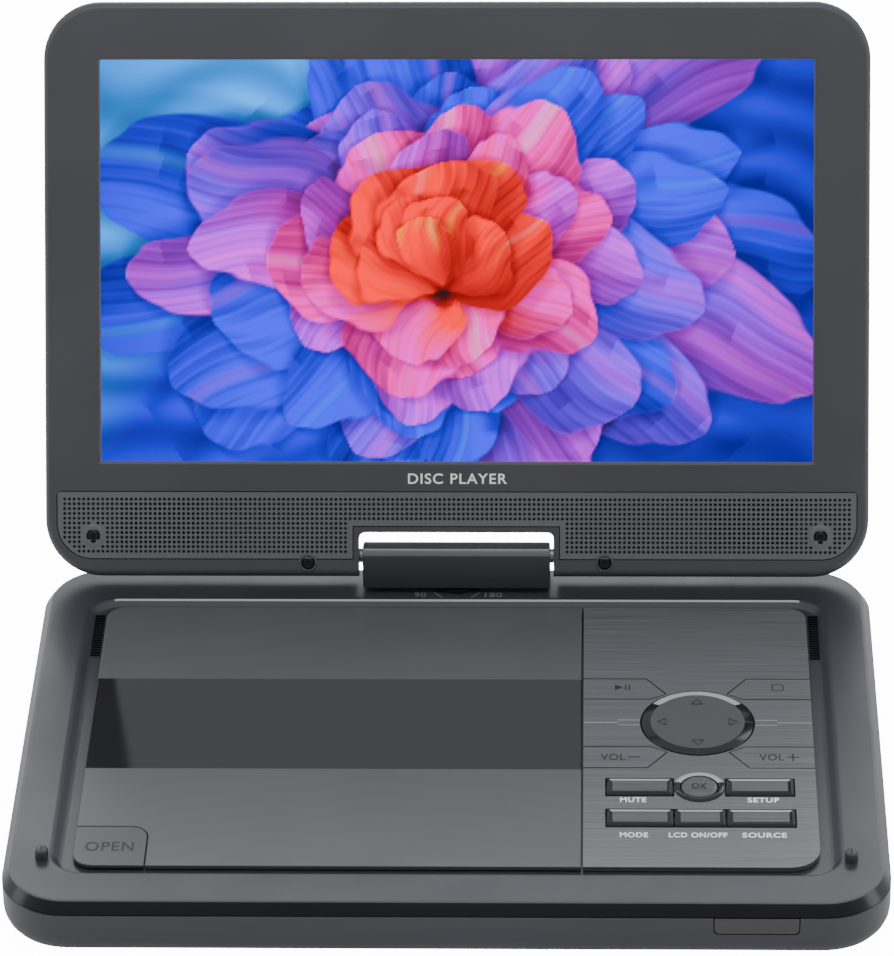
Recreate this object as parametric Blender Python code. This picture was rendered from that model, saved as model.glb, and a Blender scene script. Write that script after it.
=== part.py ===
"""Portable disc player: a tray-top base, a swivel-and-tilt hinge and a 10.1 inch screen in a lid.

Lengths are millimetres in this script; `mesh_object` turns them into metres.
Base frame: X to the right, Y to the back, Z up, zero on the table under the middle of the base.
Lid frame: its own X to the right, Y into the lid's back, Z up the screen, zero on the tilt axis.
"""
import math

import bmesh
import bpy

MM = 0.001

# Overall sizes
BASE_WIDTH = 259.2
BASE_DEPTH = 182.0
BASE_HEIGHT = 20.0
BASE_CORNER = 20.0
SCREEN_WIDTH = 223.9
SCREEN_HEIGHT = 126.6
LID_CORNER = 18.0

# Walls and clearances
WALL = 2.0
GAP = 0.3
KEY_GAP = 0.4
OVERSHOOT = 2.0
ROUND_STEPS = 6

# Base shells
FOOT_RADIUS = 6.0
FOOT_HEIGHT = 2.0
FOOT_PROUD = 1.5
FOOT_INSET = 18.0
BASE_BOTTOM_ROUND = 7.0
DECK_HEIGHT = 3.6
TOP_CHAMFER = 2.3
RIM_SIDE = 14.3
RIM_FRONT = 16.5
RIM_BACK = 19.5
TRAY_CORNER = 10.0
TRAY_DEPTH = 1.8
TRAY_SLOPE = 2.0
TRAY_FRONT_SLOPE = 0.3
BUMPER_INSET = 11.5
BUMPER_WIDTH = 3.8
BUMPER_LENGTH = 4.2
BUMPER_SET_BACK = 5.5

# Plates in the tray: the moat round them, the disc side and the control side
MOAT_SIDE = 6.1
MOAT_FRONT = 3.5
MOAT_BACK = 4.7
PLATE_CORNER = 6.0
CONTROL_WIDTH = 69.5
PLATE_SPLIT = 0.3
DISC_RADIUS = 60.0
DISC_MARGIN = 1.6
DISC_TO_DIVIDER = 74.7
DISC_TO_BACK = 68.8
WELL_DEPTH = 7.3
WELL_WALL = 1.5
HUB_RADIUS = 15.0
HUB_NECK_RADIUS = 7.4
COVER_HINGE_INSET = 0.7
OPEN_WIDTH = 21.2
OPEN_DEPTH = 19.4
OPEN_CORNER = 5.0

# Disc drive
RAIL_HEIGHT = 8.0
RAIL_OFFSET = 16.0
RAIL_RADIUS = 1.5
RUN_GAP = 0.3
DRIVE_SCREW_OFFSET = 22.5
DRIVE_SCREW_RADIUS = 1.4
SLED_START = 25.0
SLED_TRAVEL = 32.0
SLED_HALF = 10.0
SLED_WIDTH = 38.0
SLED_MOTOR_RADIUS = 2.8
SPINDLE_MOTOR_RADIUS = 12.0
LENS_RADIUS = 4.6
SLOT_CLEARANCE = 3.0
BEARING_LENGTH = 4.0
CHASSIS_THICK = 1.0

# Controls
PAD_TO_DIVIDER = 34.8
PAD_TO_BACK = 63.6
PAD_RADIUS = 17.0
PAD_BEVEL = 2.8
PAD_STEM_RADIUS = 3.0
GIMBAL_WIDTH = 2.5
KEY_PROUD = 0.6
KEY_BEVEL = 1.9
KEY_TRAVEL = 0.5
KEY_FREE_PLAY = 0.1
KEY_ROW_DEPTH = 8.7
KEY_ROW_REACH_LEFT = 27.6
KEY_ROW_REACH_RIGHT = 28.0
ROW_BELOW_PAD = 12.45
ROW_TO_ROW = 7.1
OK_RADIUS = 5.4
OK_RING_RADIUS = 7.9
CORNER_KEY_ABOVE = 6.7
CORNER_KEY_BELOW = 4.2
CORNER_KEY_DEPTH = 10.7
CORNER_KEY_REACH = 19.4
CORNER_KEY_TIP = 25.2
CORNER_KEY_SHOULDER = 1.2
CORNER_KEY_SLANT = 2.6
WINDOW_MARGIN = 3.0
MAT_THICK = 1.2
BOARD_THICK = 1.2

# Hinge: places in Y and Z are counted from the tilt axis
PIVOT_INSET = 9.5
PIVOT_ABOVE_DECK = 10.0
LEAN_DEG = 28.3
BLOCK_WIDTH = 58.8
BLOCK_FRONT = -7.0
BLOCK_BACK = 6.6
BLOCK_BOTTOM = -8.2
BLOCK_TOP = 6.4
BARREL_WALL = 2.1
PIN_RADIUS = 2.2
PIN_LENGTH = 30.0
PIN_DEPTH = 12.0
POST_RADIUS = 5.0
POST_FLANGE_RADIUS = 7.0
RETAINER_RADIUS = 7.0
RETAINER_HEIGHT = 2.0
BRACKET_WIDTH = 14.0
BRACKET_TOP = 16.0

# Lid: places are counted from the tilt axis, into the back and up the screen
FACE = -6.5
LID_BACK = 8.0
LID_BACK_ROUND = 7.0
LID_EDGE = 2.2
LID_SPLIT = -2.0
LID_BELOW_PIN = 4.0
BEZEL_SIDE = 17.15
BEZEL_TOP = 17.6
BEZEL_PLATE = 2.0
SCREEN_BOTTOM = 29.4
NOTCH_CLEARANCE = 1.1
NOTCH_TOP = 7.7
NOTCH_CORNER = 2.0
BACK_NOTCH_GROW = 1.0
GRILLE_INSET = 3.9
GRILLE_TOP = 20.3
GRILLE_BOTTOM = -0.6
GRILLE_THICK = 0.9
GRILLE_SUNK = 0.2
GRILLE_STEP = 2.0
PANEL_BORDER_SIDE = 5.55
PANEL_BORDER_END = 7.2
PANEL_THICK = 1.6
BACKLIGHT_THICK = 3.0
SPEAKER_INSET = 32.7
SPEAKER_WIDTH = 28.0
SPEAKER_DEPTH = 5.0
CONE_RADIUS = 9.0
SCREW_HEAD = 1.9
SCREW_SINK = 0.4
END_SCREW_INSET = 11.2
END_SCREW_RISE = 7.0
LOW_SCREW_REACH = 16.0
LOW_SCREW_RISE = 4.3
SCREEN_BOARD_HALF = 26.0

# Front and right-hand side of the base
IR_INSET = 52.0
IR_WIDTH = 25.0
IR_HEIGHT = 5.8
PORT_HEIGHT = 10.0
PORT_DEPTH = 14.0
PORT_SUNK = 0.4
CARD_DEPTH = 26.0
SWITCH_INSET = 29.0
SWITCH_TRAVEL = 3.2
SWITCH_TO_DC = 18.0
DC_TO_PHONES = 22.0
PHONES_TO_USB = 30.0
USB_TO_CARD = 28.0
BATTERY_FRONT_INSET = 12.0


def paint(name, color, roughness, metallic=0.0):
    """A Principled material with one colour."""
    material = bpy.data.materials.new(name)
    material.use_nodes = True
    shader = material.node_tree.nodes["Principled BSDF"]
    shader.inputs["Base Color"].default_value = (*color, 1.0)
    shader.inputs["Roughness"].default_value = roughness
    shader.inputs["Metallic"].default_value = metallic
    material.diffuse_color = (*color, 1.0)
    return material


def mesh_object(name, mesh_data, material, origin=(0.0, 0.0, 0.0), parent=None, smooth=False):
    """One object from a bmesh in millimetres, with its origin moved to `origin`."""
    bmesh.ops.translate(mesh_data, verts=mesh_data.verts, vec=[-c for c in origin])
    bmesh.ops.scale(mesh_data, verts=mesh_data.verts, vec=(MM, MM, MM))
    bmesh.ops.recalc_face_normals(mesh_data, faces=mesh_data.faces)
    mesh = bpy.data.meshes.new(name)
    mesh_data.to_mesh(mesh)
    mesh_data.free()
    if smooth:
        mesh.shade_smooth()
        mesh.set_sharp_from_angle(angle=math.radians(35.0))
    obj = bpy.data.objects.new(name, mesh)
    bpy.context.scene.collection.objects.link(obj)
    obj.location = [c * MM for c in origin]
    obj.parent = parent
    if material:
        obj.data.materials.append(material)
    return obj


def rounded_outline(left, right, front, back, corner, steps=ROUND_STEPS):
    """Points of a rectangle with round corners, anticlockwise; `corner` is one radius or four."""
    radii = corner if isinstance(corner, tuple) else (corner,) * 4
    corners = ((right, back, -1, -1, 0), (left, back, 1, -1, 90),
               (left, front, 1, 1, 180), (right, front, -1, 1, 270))
    points = []
    for (x, y, inward_x, inward_y, start), radius in zip(corners, radii):
        if radius <= 0.0:
            points.append((x, y))
            continue
        for step in range(steps + 1):
            angle = math.radians(start + 90.0 * step / steps)
            points.append((x + inward_x * radius + radius * math.cos(angle),
                           y + inward_y * radius + radius * math.sin(angle)))
    return points


def circle_outline(x, y, radius, sides):
    """Points of a circle, anticlockwise."""
    return [(x + radius * math.cos(math.tau * i / sides), y + radius * math.sin(math.tau * i / sides))
            for i in range(sides)]


def loft(sections):
    """A closed solid through equal-length outlines, given as (outline, height) from low to high."""
    solid = bmesh.new()
    rings = [[solid.verts.new((x, y, height)) for x, y in outline] for outline, height in sections]
    for lower, upper in zip(rings, rings[1:]):
        count = len(lower)
        for i in range(count):
            j = (i + 1) % count
            solid.faces.new((lower[i], lower[j], upper[j], upper[i]))
    solid.faces.new(list(reversed(rings[0])))
    solid.faces.new(rings[-1])
    return solid


def prism(outline, low, high):
    """An outline in X and Y, carried from one height to another."""
    return loft([(outline, low), (outline, high)])


def box(left, right, front, back, low, high):
    """A plain block."""
    return prism([(left, front), (right, front), (right, back), (left, back)], low, high)


def along_x(solid):
    """Turn a solid's own Z axis to +X, its X axis to +Y and its Y axis to +Z."""
    for vert in solid.verts:
        x, y, z = vert.co
        vert.co = (z, x, y)
    return solid


def to_lid(solid):
    """Turn a solid drawn as (across, up the screen, height out of the face) into the lid frame."""
    for vert in solid.verts:
        x, y, z = vert.co
        vert.co = (x, -z, y)
    return solid


def turned(profile, sides, x=0.0, y=0.0):
    """A turned solid about Z from (radius, height) points, low to high; zero radii close it."""
    solid = bmesh.new()
    rings = []
    for radius, height in profile:
        if radius == 0.0:
            rings.append([solid.verts.new((x, y, height))])
        else:
            rings.append([solid.verts.new((px, py, height)) for px, py in circle_outline(x, y, radius, sides)])
    for lower, upper in zip(rings, rings[1:]):
        for i in range(sides):
            j = (i + 1) % sides
            if len(lower) == 1:
                solid.faces.new((lower[0], upper[j], upper[i]))
            elif len(upper) == 1:
                solid.faces.new((lower[i], lower[j], upper[0]))
            else:
                solid.faces.new((lower[i], lower[j], upper[j], upper[i]))
    if len(rings[0]) > 1:
        solid.faces.new(list(reversed(rings[0])))
    if len(rings[-1]) > 1:
        solid.faces.new(rings[-1])
    return solid


def combine(target, tool_mesh, operation):
    """Cut, join or intersect `target` with another solid through a live Boolean modifier."""
    index = len(target.modifiers) + 1
    tool = mesh_object(f"{target.name}_{operation.lower()}_{index}", tool_mesh, None)
    tool.hide_render = True
    tool.display_type = "WIRE"
    tool.parent = target.parent
    modifier = target.modifiers.new(f"{operation.title()} {index}", "BOOLEAN")
    modifier.operation = operation
    modifier.solver = "EXACT"
    modifier.object = tool
    return target


def cut(target, tool_mesh):
    return combine(target, tool_mesh, "DIFFERENCE")


def join(target, tool_mesh):
    return combine(target, tool_mesh, "UNION")


# Places and heights worked out from the sizes above
HALF_WIDTH = BASE_WIDTH / 2
HALF_DEPTH = BASE_DEPTH / 2
TRAY_HALF = HALF_WIDTH - RIM_SIDE
TRAY_FRONT = -HALF_DEPTH + RIM_FRONT
TRAY_BACK = HALF_DEPTH - RIM_BACK
TRAY_FLOOR = BASE_HEIGHT - TRAY_DEPTH
SHELL_SPLIT = BASE_HEIGHT - DECK_HEIGHT
LOWER_TOP = SHELL_SPLIT - GAP / 2
UPPER_BOTTOM = SHELL_SPLIT + GAP / 2
INSIDE_FLOOR = FOOT_PROUD + WALL
PLATE_RIGHT = TRAY_HALF - MOAT_SIDE
PLATE_LEFT = -PLATE_RIGHT
PLATE_FRONT = TRAY_FRONT + MOAT_FRONT
PLATE_BACK = TRAY_BACK - MOAT_BACK
PLATE_BOTTOM = TRAY_FLOOR + GAP
COVER_BOTTOM = TRAY_FLOOR + 0.4
DIVIDER = PLATE_RIGHT - CONTROL_WIDTH
DISC_X = DIVIDER - DISC_TO_DIVIDER
DISC_Y = PLATE_BACK - DISC_TO_BACK
WELL_RADIUS = DISC_RADIUS + DISC_MARGIN
WELL_FLOOR = BASE_HEIGHT - WELL_DEPTH
PAD_X = DIVIDER + PAD_TO_DIVIDER
PAD_Y = PLATE_BACK - PAD_TO_BACK
KEY_ROW_LEFT = PAD_X - KEY_ROW_REACH_LEFT
KEY_ROW_RIGHT = PAD_X + KEY_ROW_REACH_RIGHT
FIRST_ROW_Y = PAD_Y - PAD_RADIUS - ROW_BELOW_PAD - KEY_ROW_DEPTH / 2
SECOND_ROW_Y = FIRST_ROW_Y - KEY_ROW_DEPTH - ROW_TO_ROW
CORNER_KEY_BACK = PAD_Y + PAD_RADIUS + CORNER_KEY_ABOVE
CORNER_KEY_MID = PAD_Y - PAD_RADIUS + CORNER_KEY_BELOW
KEY_BOTTOM = TRAY_FLOOR + KEY_TRAVEL + KEY_FREE_PLAY
MAT_TOP = UPPER_BOTTOM - GAP
STEM_BOTTOM = MAT_TOP + KEY_TRAVEL + KEY_FREE_PLAY
WINDOW_LEFT = DIVIDER + PLATE_SPLIT + WINDOW_MARGIN
WINDOW_RIGHT = PLATE_RIGHT - WINDOW_MARGIN
WINDOW_FRONT = SECOND_ROW_Y - KEY_ROW_DEPTH / 2 - WINDOW_MARGIN
WINDOW_BACK = CORNER_KEY_BACK + WINDOW_MARGIN
BUMPER_X = HALF_WIDTH - BUMPER_INSET
BUMPER_FRONT = TRAY_FRONT + BUMPER_SET_BACK
PIVOT_Y = HALF_DEPTH - PIVOT_INSET
PIVOT_Z = BASE_HEIGHT + PIVOT_ABOVE_DECK
BARREL_RADIUS = PIN_RADIUS + BARREL_WALL
LID_WIDTH = SCREEN_WIDTH + 2 * BEZEL_SIDE
LID_BOTTOM = -PIN_RADIUS - LID_BELOW_PIN
LID_TOP = SCREEN_BOTTOM + SCREEN_HEIGHT + BEZEL_TOP
NOTCH_WIDTH = BLOCK_WIDTH + 2 * NOTCH_CLEARANCE
GRILLE_WIDTH = LID_WIDTH - 2 * GRILLE_INSET
PANEL_WIDTH = SCREEN_WIDTH + 2 * PANEL_BORDER_SIDE
PANEL_HEIGHT = SCREEN_HEIGHT + 2 * PANEL_BORDER_END
SPEAKER_X = GRILLE_WIDTH / 2 - SPEAKER_INSET
SCREEN_MIDDLE = SCREEN_BOTTOM + SCREEN_HEIGHT / 2
BEZEL_BACK = FACE + BEZEL_PLATE
GRILLE_SEAT = FACE + GRILLE_SUNK + GRILLE_THICK + GAP
PANEL_FRONT = BEZEL_BACK + GAP
PANEL_BACK = PANEL_FRONT + PANEL_THICK
CAVITY_BACK = LID_BACK - WALL
SWITCH_Y = HALF_DEPTH - SWITCH_INSET
DC_Y = SWITCH_Y - SWITCH_TO_DC
PHONES_Y = DC_Y - DC_TO_PHONES
USB_Y = PHONES_Y - PHONES_TO_USB
CARD_Y = USB_Y - USB_TO_CARD
IR_LEFT = HALF_WIDTH - IR_INSET
IR_BOTTOM = SHELL_SPLIT - IR_HEIGHT
CHASSIS_TOP = INSIDE_FLOOR + GAP + CHASSIS_THICK
MOTOR_TOP = WELL_FLOOR - WELL_WALL - 0.5
RAIL_FRONT = DISC_Y - SLED_START - SLED_TRAVEL - SLED_HALF - 9.0
RAIL_BACK = DISC_Y + 18.0
BOARD_LEFT = WINDOW_LEFT + 2.0
BOARD_RIGHT = HALF_WIDTH - WALL - 3.4
BOARD_LOW = INSIDE_FLOOR + 0.8
BATTERY_RIGHT = HALF_WIDTH - PORT_SUNK - CARD_DEPTH - 4.2
BATTERY_BACK = PAD_Y - 5.2

# Connector faces in the right-hand wall: middle in Y, width and height
PORTS = {"usb": (USB_Y, 13.1, 5.8), "card": (CARD_Y, 26.0, 4.0), "dc": (DC_Y, 9.0, 9.0),
         "phones": (PHONES_Y, 7.0, 7.0), "switch": (SWITCH_Y, 8.0, 3.0)}


def base_outline(inset):
    """The base seen from above, pulled in all round by `inset`."""
    return rounded_outline(-HALF_WIDTH + inset, HALF_WIDTH - inset, -HALF_DEPTH + inset, HALF_DEPTH - inset,
                           BASE_CORNER - inset)


def tub(inset, floor, bottom_round, top):
    """A dish with a rounded bottom edge, between its floor and its top."""
    sections = []
    for step in range(4):
        angle = math.radians(90.0 * step / 3)
        sections.append((base_outline(inset + bottom_round * (1 - math.sin(angle))),
                         floor + bottom_round * (1 - math.cos(angle))))
    sections.append((base_outline(inset), top))
    return loft(sections)


def foot_centres():
    """The four feet, front left first."""
    across = HALF_WIDTH - FOOT_INSET
    along = HALF_DEPTH - FOOT_INSET
    return [(-across, -along), (across, -along), (-across, along), (across, along)]


def port_opening(y, width, height):
    """A cutter through the right-hand wall for a connector face."""
    return box(HALF_WIDTH - WALL - OVERSHOOT, HALF_WIDTH + OVERSHOOT, y - width / 2 - GAP, y + width / 2 + GAP,
               PORT_HEIGHT - height / 2 - GAP, PORT_HEIGHT + height / 2 + GAP)


def make_lower_shell(plastic, parent):
    """The bottom half of the base, with pockets for the feet and openings for the connectors."""
    shell = mesh_object("base_lower_shell", tub(0.0, FOOT_PROUD, BASE_BOTTOM_ROUND, LOWER_TOP), plastic,
                        parent=parent)
    cut(shell, tub(WALL, INSIDE_FLOOR, BASE_BOTTOM_ROUND - WALL, LOWER_TOP + OVERSHOOT))
    for x, y in foot_centres():
        cut(shell, turned([(FOOT_RADIUS + GAP, FOOT_PROUD - OVERSHOOT), (FOOT_RADIUS + GAP, FOOT_HEIGHT + GAP)],
                          20, x, y))
    for y, width, height in PORTS.values():
        cut(shell, port_opening(y, width, height))
    cut(shell, box(IR_LEFT, IR_LEFT + IR_WIDTH, -HALF_DEPTH - OVERSHOOT, -HALF_DEPTH + WALL + OVERSHOOT,
                   IR_BOTTOM, LOWER_TOP + OVERSHOOT))


def make_feet(rubber, parent):
    for number, (x, y) in enumerate(foot_centres(), 1):
        mesh_object(f"foot_{number}", turned([(FOOT_RADIUS - 0.6, 0.0), (FOOT_RADIUS, 0.5),
                                              (FOOT_RADIUS, FOOT_HEIGHT)], 20, x, y),
                    rubber, (x, y, 0.0), parent, smooth=True)


def bumper_outline(side, grow, corner):
    """One bumper seen from above."""
    middle = side * BUMPER_X
    half = BUMPER_WIDTH / 2 + grow
    back = BUMPER_FRONT + BUMPER_LENGTH
    return rounded_outline(middle - half, middle + half, BUMPER_FRONT - grow, back + grow, corner, 2)


def make_upper_shell(plastic, parent):
    """The deck: a chamfered plate with a shallow tray, the disc well below it and the key window."""
    plate = loft([(base_outline(0.0), UPPER_BOTTOM), (base_outline(TOP_CHAMFER), BASE_HEIGHT)])
    shell = mesh_object("base_upper_shell", plate, plastic, parent=parent)
    join(shell, turned([(WELL_RADIUS + WELL_WALL, WELL_FLOOR - WELL_WALL),
                        (WELL_RADIUS + WELL_WALL, TRAY_FLOOR - 0.8)], 48, DISC_X, DISC_Y))
    tray_top = rounded_outline(-TRAY_HALF, TRAY_HALF, TRAY_FRONT, TRAY_BACK, TRAY_CORNER)
    tray_floor = rounded_outline(-TRAY_HALF + TRAY_SLOPE, TRAY_HALF - TRAY_SLOPE, TRAY_FRONT + TRAY_FRONT_SLOPE,
                                 TRAY_BACK - TRAY_SLOPE, TRAY_CORNER - TRAY_SLOPE)
    cut(shell, loft([(tray_floor, TRAY_FLOOR), (tray_top, BASE_HEIGHT), (tray_top, BASE_HEIGHT + OVERSHOOT)]))
    cut(shell, turned([(WELL_RADIUS, WELL_FLOOR), (WELL_RADIUS, BASE_HEIGHT + OVERSHOOT)], 48, DISC_X, DISC_Y))
    cut(shell, turned([(HUB_RADIUS + 1.5, WELL_FLOOR - WELL_WALL - OVERSHOOT),
                       (HUB_RADIUS + 1.5, WELL_FLOOR + OVERSHOOT)], 32, DISC_X, DISC_Y))
    slot_half = LENS_RADIUS + SLOT_CLEARANCE
    slot_reach = SLED_START + SLED_TRAVEL + LENS_RADIUS + SLOT_CLEARANCE / 4
    cut(shell, box(DISC_X - slot_half, DISC_X + slot_half, DISC_Y - slot_reach, DISC_Y,
                   WELL_FLOOR - WELL_WALL - OVERSHOOT, WELL_FLOOR + 0.9))
    cut(shell, box(WINDOW_LEFT, WINDOW_RIGHT, WINDOW_FRONT, WINDOW_BACK, UPPER_BOTTOM - OVERSHOOT,
                   BASE_HEIGHT + OVERSHOOT))
    cut(shell, turned([(POST_RADIUS + GAP, UPPER_BOTTOM - OVERSHOOT),
                       (POST_RADIUS + GAP, BASE_HEIGHT + OVERSHOOT)], 24, 0.0, PIVOT_Y))
    for side in (-1, 1):
        cut(shell, prism(bumper_outline(side, GAP, 0.9), TRAY_FLOOR + 2 * GAP, BASE_HEIGHT + OVERSHOOT))


def make_bumpers(rubber, parent):
    """Two nubs that the closed lid rests on."""
    top = PIVOT_Z + FACE - GAP
    for name, side in (("bumper_left", -1), ("bumper_right", 1)):
        lower = bumper_outline(side, 0.0, 0.9)
        upper = bumper_outline(side, -0.5, 0.6)
        mesh_object(name, loft([(lower, TRAY_FLOOR + 3 * GAP), (lower, top - 0.6), (upper, top)]), rubber,
                    parent=parent)


def pad_opening(clearance):
    return turned([(PAD_RADIUS + clearance, TRAY_FLOOR - OVERSHOOT),
                   (PAD_RADIUS + clearance, BASE_HEIGHT + OVERSHOOT)], 40, PAD_X, PAD_Y)


def corner_key_outline(side, middle, toward_pad, grow):
    """A corner key: a strip from the fascia's edge whose inner end is cut to an arrow beside the pad."""
    edge = (DIVIDER + PLATE_SPLIT) if side < 0 else PLATE_RIGHT
    outer = edge + side * (2 * grow if grow else 0.0)
    back = middle + toward_pad * -CORNER_KEY_DEPTH / 2
    near = middle + toward_pad * CORNER_KEY_DEPTH / 2
    tip_y = middle + toward_pad * (CORNER_KEY_DEPTH / 2 - CORNER_KEY_SLANT)
    reach = DIVIDER + CORNER_KEY_REACH if side < 0 else PLATE_RIGHT - CORNER_KEY_REACH
    tip_x = DIVIDER + CORNER_KEY_TIP if side < 0 else PLATE_RIGHT - CORNER_KEY_TIP
    shoulder = reach - side * CORNER_KEY_SHOULDER
    points = [(outer, back - toward_pad * grow), (reach - side * grow * 0.5, back - toward_pad * grow),
              (tip_x - side * grow * 1.4, tip_y), (shoulder - side * grow * 0.5, near + toward_pad * grow),
              (outer, near + toward_pad * grow)]
    area = sum(x0 * y1 - x1 * y0 for (x0, y0), (x1, y1) in zip(points, points[1:] + points[:1]))
    return points if area > 0 else list(reversed(points))


UPPER_KEYS_Y = CORNER_KEY_BACK - CORNER_KEY_DEPTH / 2
LOWER_KEYS_Y = CORNER_KEY_MID - CORNER_KEY_DEPTH / 2
CORNER_KEYS = {"play_key": (-1, UPPER_KEYS_Y, -1), "stop_key": (1, UPPER_KEYS_Y, -1),
               "volume_down_key": (-1, LOWER_KEYS_Y, 1), "volume_up_key": (1, LOWER_KEYS_Y, 1)}


def make_fascia(metal, parent):
    """The brushed plate over the right of the tray, opened for every key."""
    corner = (PLATE_CORNER, 0.0, 0.0, PLATE_CORNER + 3.0)
    outline = rounded_outline(DIVIDER + PLATE_SPLIT, PLATE_RIGHT, PLATE_FRONT, PLATE_BACK, corner)
    fascia = mesh_object("control_fascia", prism(outline, PLATE_BOTTOM, BASE_HEIGHT), metal, parent=parent)
    cut(fascia, pad_opening(KEY_GAP))
    for side, middle, toward_pad in CORNER_KEYS.values():
        cut(fascia, prism(corner_key_outline(side, middle, toward_pad, KEY_GAP), TRAY_FLOOR - OVERSHOOT,
                          BASE_HEIGHT + OVERSHOOT))
    for left, right, y in ((KEY_ROW_LEFT, PAD_X - OK_RING_RADIUS, FIRST_ROW_Y),
                           (PAD_X + OK_RING_RADIUS, KEY_ROW_RIGHT, FIRST_ROW_Y),
                           (KEY_ROW_LEFT, KEY_ROW_RIGHT, SECOND_ROW_Y)):
        cut(fascia, box(left - KEY_GAP, right + KEY_GAP, y - KEY_ROW_DEPTH / 2 - KEY_GAP,
                        y + KEY_ROW_DEPTH / 2 + KEY_GAP, TRAY_FLOOR - OVERSHOOT, BASE_HEIGHT + OVERSHOOT))
    cut(fascia, turned([(OK_RADIUS + KEY_GAP, TRAY_FLOOR - OVERSHOOT),
                        (OK_RADIUS + KEY_GAP, BASE_HEIGHT + OVERSHOOT)], 28, PAD_X, FIRST_ROW_Y))


def raised_key(name, outlines, plastic, parent, centre):
    """A key cap on a narrower stem; `outlines` are the stem, the cap and the bevelled top."""
    stem, cap, top = outlines
    solid = loft([(stem, STEM_BOTTOM), (stem, KEY_BOTTOM), (cap, KEY_BOTTOM), (cap, BASE_HEIGHT),
                  (top, BASE_HEIGHT + KEY_PROUD)])
    mesh_object(name, solid, plastic, (*centre, KEY_BOTTOM), parent)


def make_row_keys(plastic, parent):
    middle_left = PAD_X - OK_RING_RADIUS
    middle_right = PAD_X + OK_RING_RADIUS
    rows = {"mute_key": (KEY_ROW_LEFT, middle_left, FIRST_ROW_Y),
            "setup_key": (middle_right, KEY_ROW_RIGHT, FIRST_ROW_Y),
            "mode_key": (KEY_ROW_LEFT, middle_left, SECOND_ROW_Y),
            "screen_key": (middle_left + KEY_GAP, middle_right - KEY_GAP, SECOND_ROW_Y),
            "source_key": (middle_right, KEY_ROW_RIGHT, SECOND_ROW_Y)}
    for name, (left, right, y) in rows.items():
        outlines = [rounded_outline(left + inset, right - inset, y - KEY_ROW_DEPTH / 2 + inset,
                                    y + KEY_ROW_DEPTH / 2 - inset, 0.5, 1)
                    for inset in (KEY_BEVEL + 0.6, 0.0, KEY_BEVEL)]
        raised_key(name, outlines, plastic, parent, ((left + right) / 2, y))
    circles = [circle_outline(PAD_X, FIRST_ROW_Y, radius, 28)
               for radius in (OK_RADIUS - 1.6, OK_RADIUS, OK_RADIUS - 0.9)]
    raised_key("ok_key", circles, plastic, parent, (PAD_X, FIRST_ROW_Y))


def make_corner_keys(metal, parent):
    for name, (side, middle, toward_pad) in CORNER_KEYS.items():
        outline = corner_key_outline(side, middle, toward_pad, 0.0)
        inner = DIVIDER + CORNER_KEY_REACH / 2 if side < 0 else PLATE_RIGHT - CORNER_KEY_REACH / 2
        key = mesh_object(name, prism(outline, KEY_BOTTOM, BASE_HEIGHT), metal, (inner, middle, KEY_BOTTOM),
                          parent)
        join(key, box(inner - 3.0, inner + 3.0, middle - 2.0, middle + 2.0, STEM_BOTTOM, KEY_BOTTOM + 0.5))


def make_pad(plastic, steel, parent):
    """The direction pad and the gimbal ring that lets it rock both ways."""
    profile = [(PAD_STEM_RADIUS, STEM_BOTTOM), (PAD_STEM_RADIUS, KEY_BOTTOM), (PAD_RADIUS, KEY_BOTTOM),
               (PAD_RADIUS, BASE_HEIGHT), (PAD_RADIUS - PAD_BEVEL, BASE_HEIGHT + KEY_PROUD),
               (0.0, BASE_HEIGHT + KEY_PROUD - 0.2)]
    mesh_object("direction_pad", turned(profile, 40, PAD_X, PAD_Y), plastic, (PAD_X, PAD_Y, KEY_BOTTOM),
                parent, smooth=True)
    ring_inner = PAD_STEM_RADIUS + KEY_GAP
    ring_outer = ring_inner + GIMBAL_WIDTH
    ring = mesh_object("pad_gimbal", turned([(ring_outer, STEM_BOTTOM), (ring_outer, KEY_BOTTOM - 0.7)],
                                            24, PAD_X, PAD_Y), steel, (PAD_X, PAD_Y, KEY_BOTTOM), parent,
                       smooth=True)
    cut(ring, turned([(ring_inner, STEM_BOTTOM - OVERSHOOT), (ring_inner, KEY_BOTTOM + OVERSHOOT)],
                     24, PAD_X, PAD_Y))


def open_outline():
    """The release button at the front left corner of the cover."""
    return rounded_outline(PLATE_LEFT, PLATE_LEFT + OPEN_WIDTH, PLATE_FRONT, PLATE_FRONT + OPEN_DEPTH,
                           (OPEN_CORNER, 0.0, PLATE_CORNER, 0.0), 5)


def make_cover(plastic, parent):
    """The disc cover, hinged along its back edge, with its front left corner left to the button."""
    axis_y = PLATE_BACK - COVER_HINGE_INSET
    axis_z = (COVER_BOTTOM + BASE_HEIGHT) / 2
    outline = rounded_outline(PLATE_LEFT, DIVIDER - PLATE_SPLIT, PLATE_FRONT, PLATE_BACK,
                              (0.0, PLATE_CORNER, 0.0, 0.0))
    cover = mesh_object("disc_cover", prism(outline, COVER_BOTTOM, BASE_HEIGHT), plastic,
                        (0.0, axis_y, axis_z), parent)
    margin = 3 * OVERSHOOT
    corner = rounded_outline(PLATE_LEFT - margin, PLATE_LEFT + OPEN_WIDTH + GAP, PLATE_FRONT - margin,
                             PLATE_FRONT + OPEN_DEPTH + GAP, (OPEN_CORNER + GAP, 0.0, 0.0, 0.0), 5)
    cut(cover, prism(corner, TRAY_FLOOR - OVERSHOOT, BASE_HEIGHT + OVERSHOOT))
    mesh_object("open_button", prism(open_outline(), KEY_BOTTOM, BASE_HEIGHT), plastic,
                (PLATE_LEFT + OPEN_WIDTH / 2, PLATE_FRONT + OPEN_DEPTH / 2, KEY_BOTTOM), parent)


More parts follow.
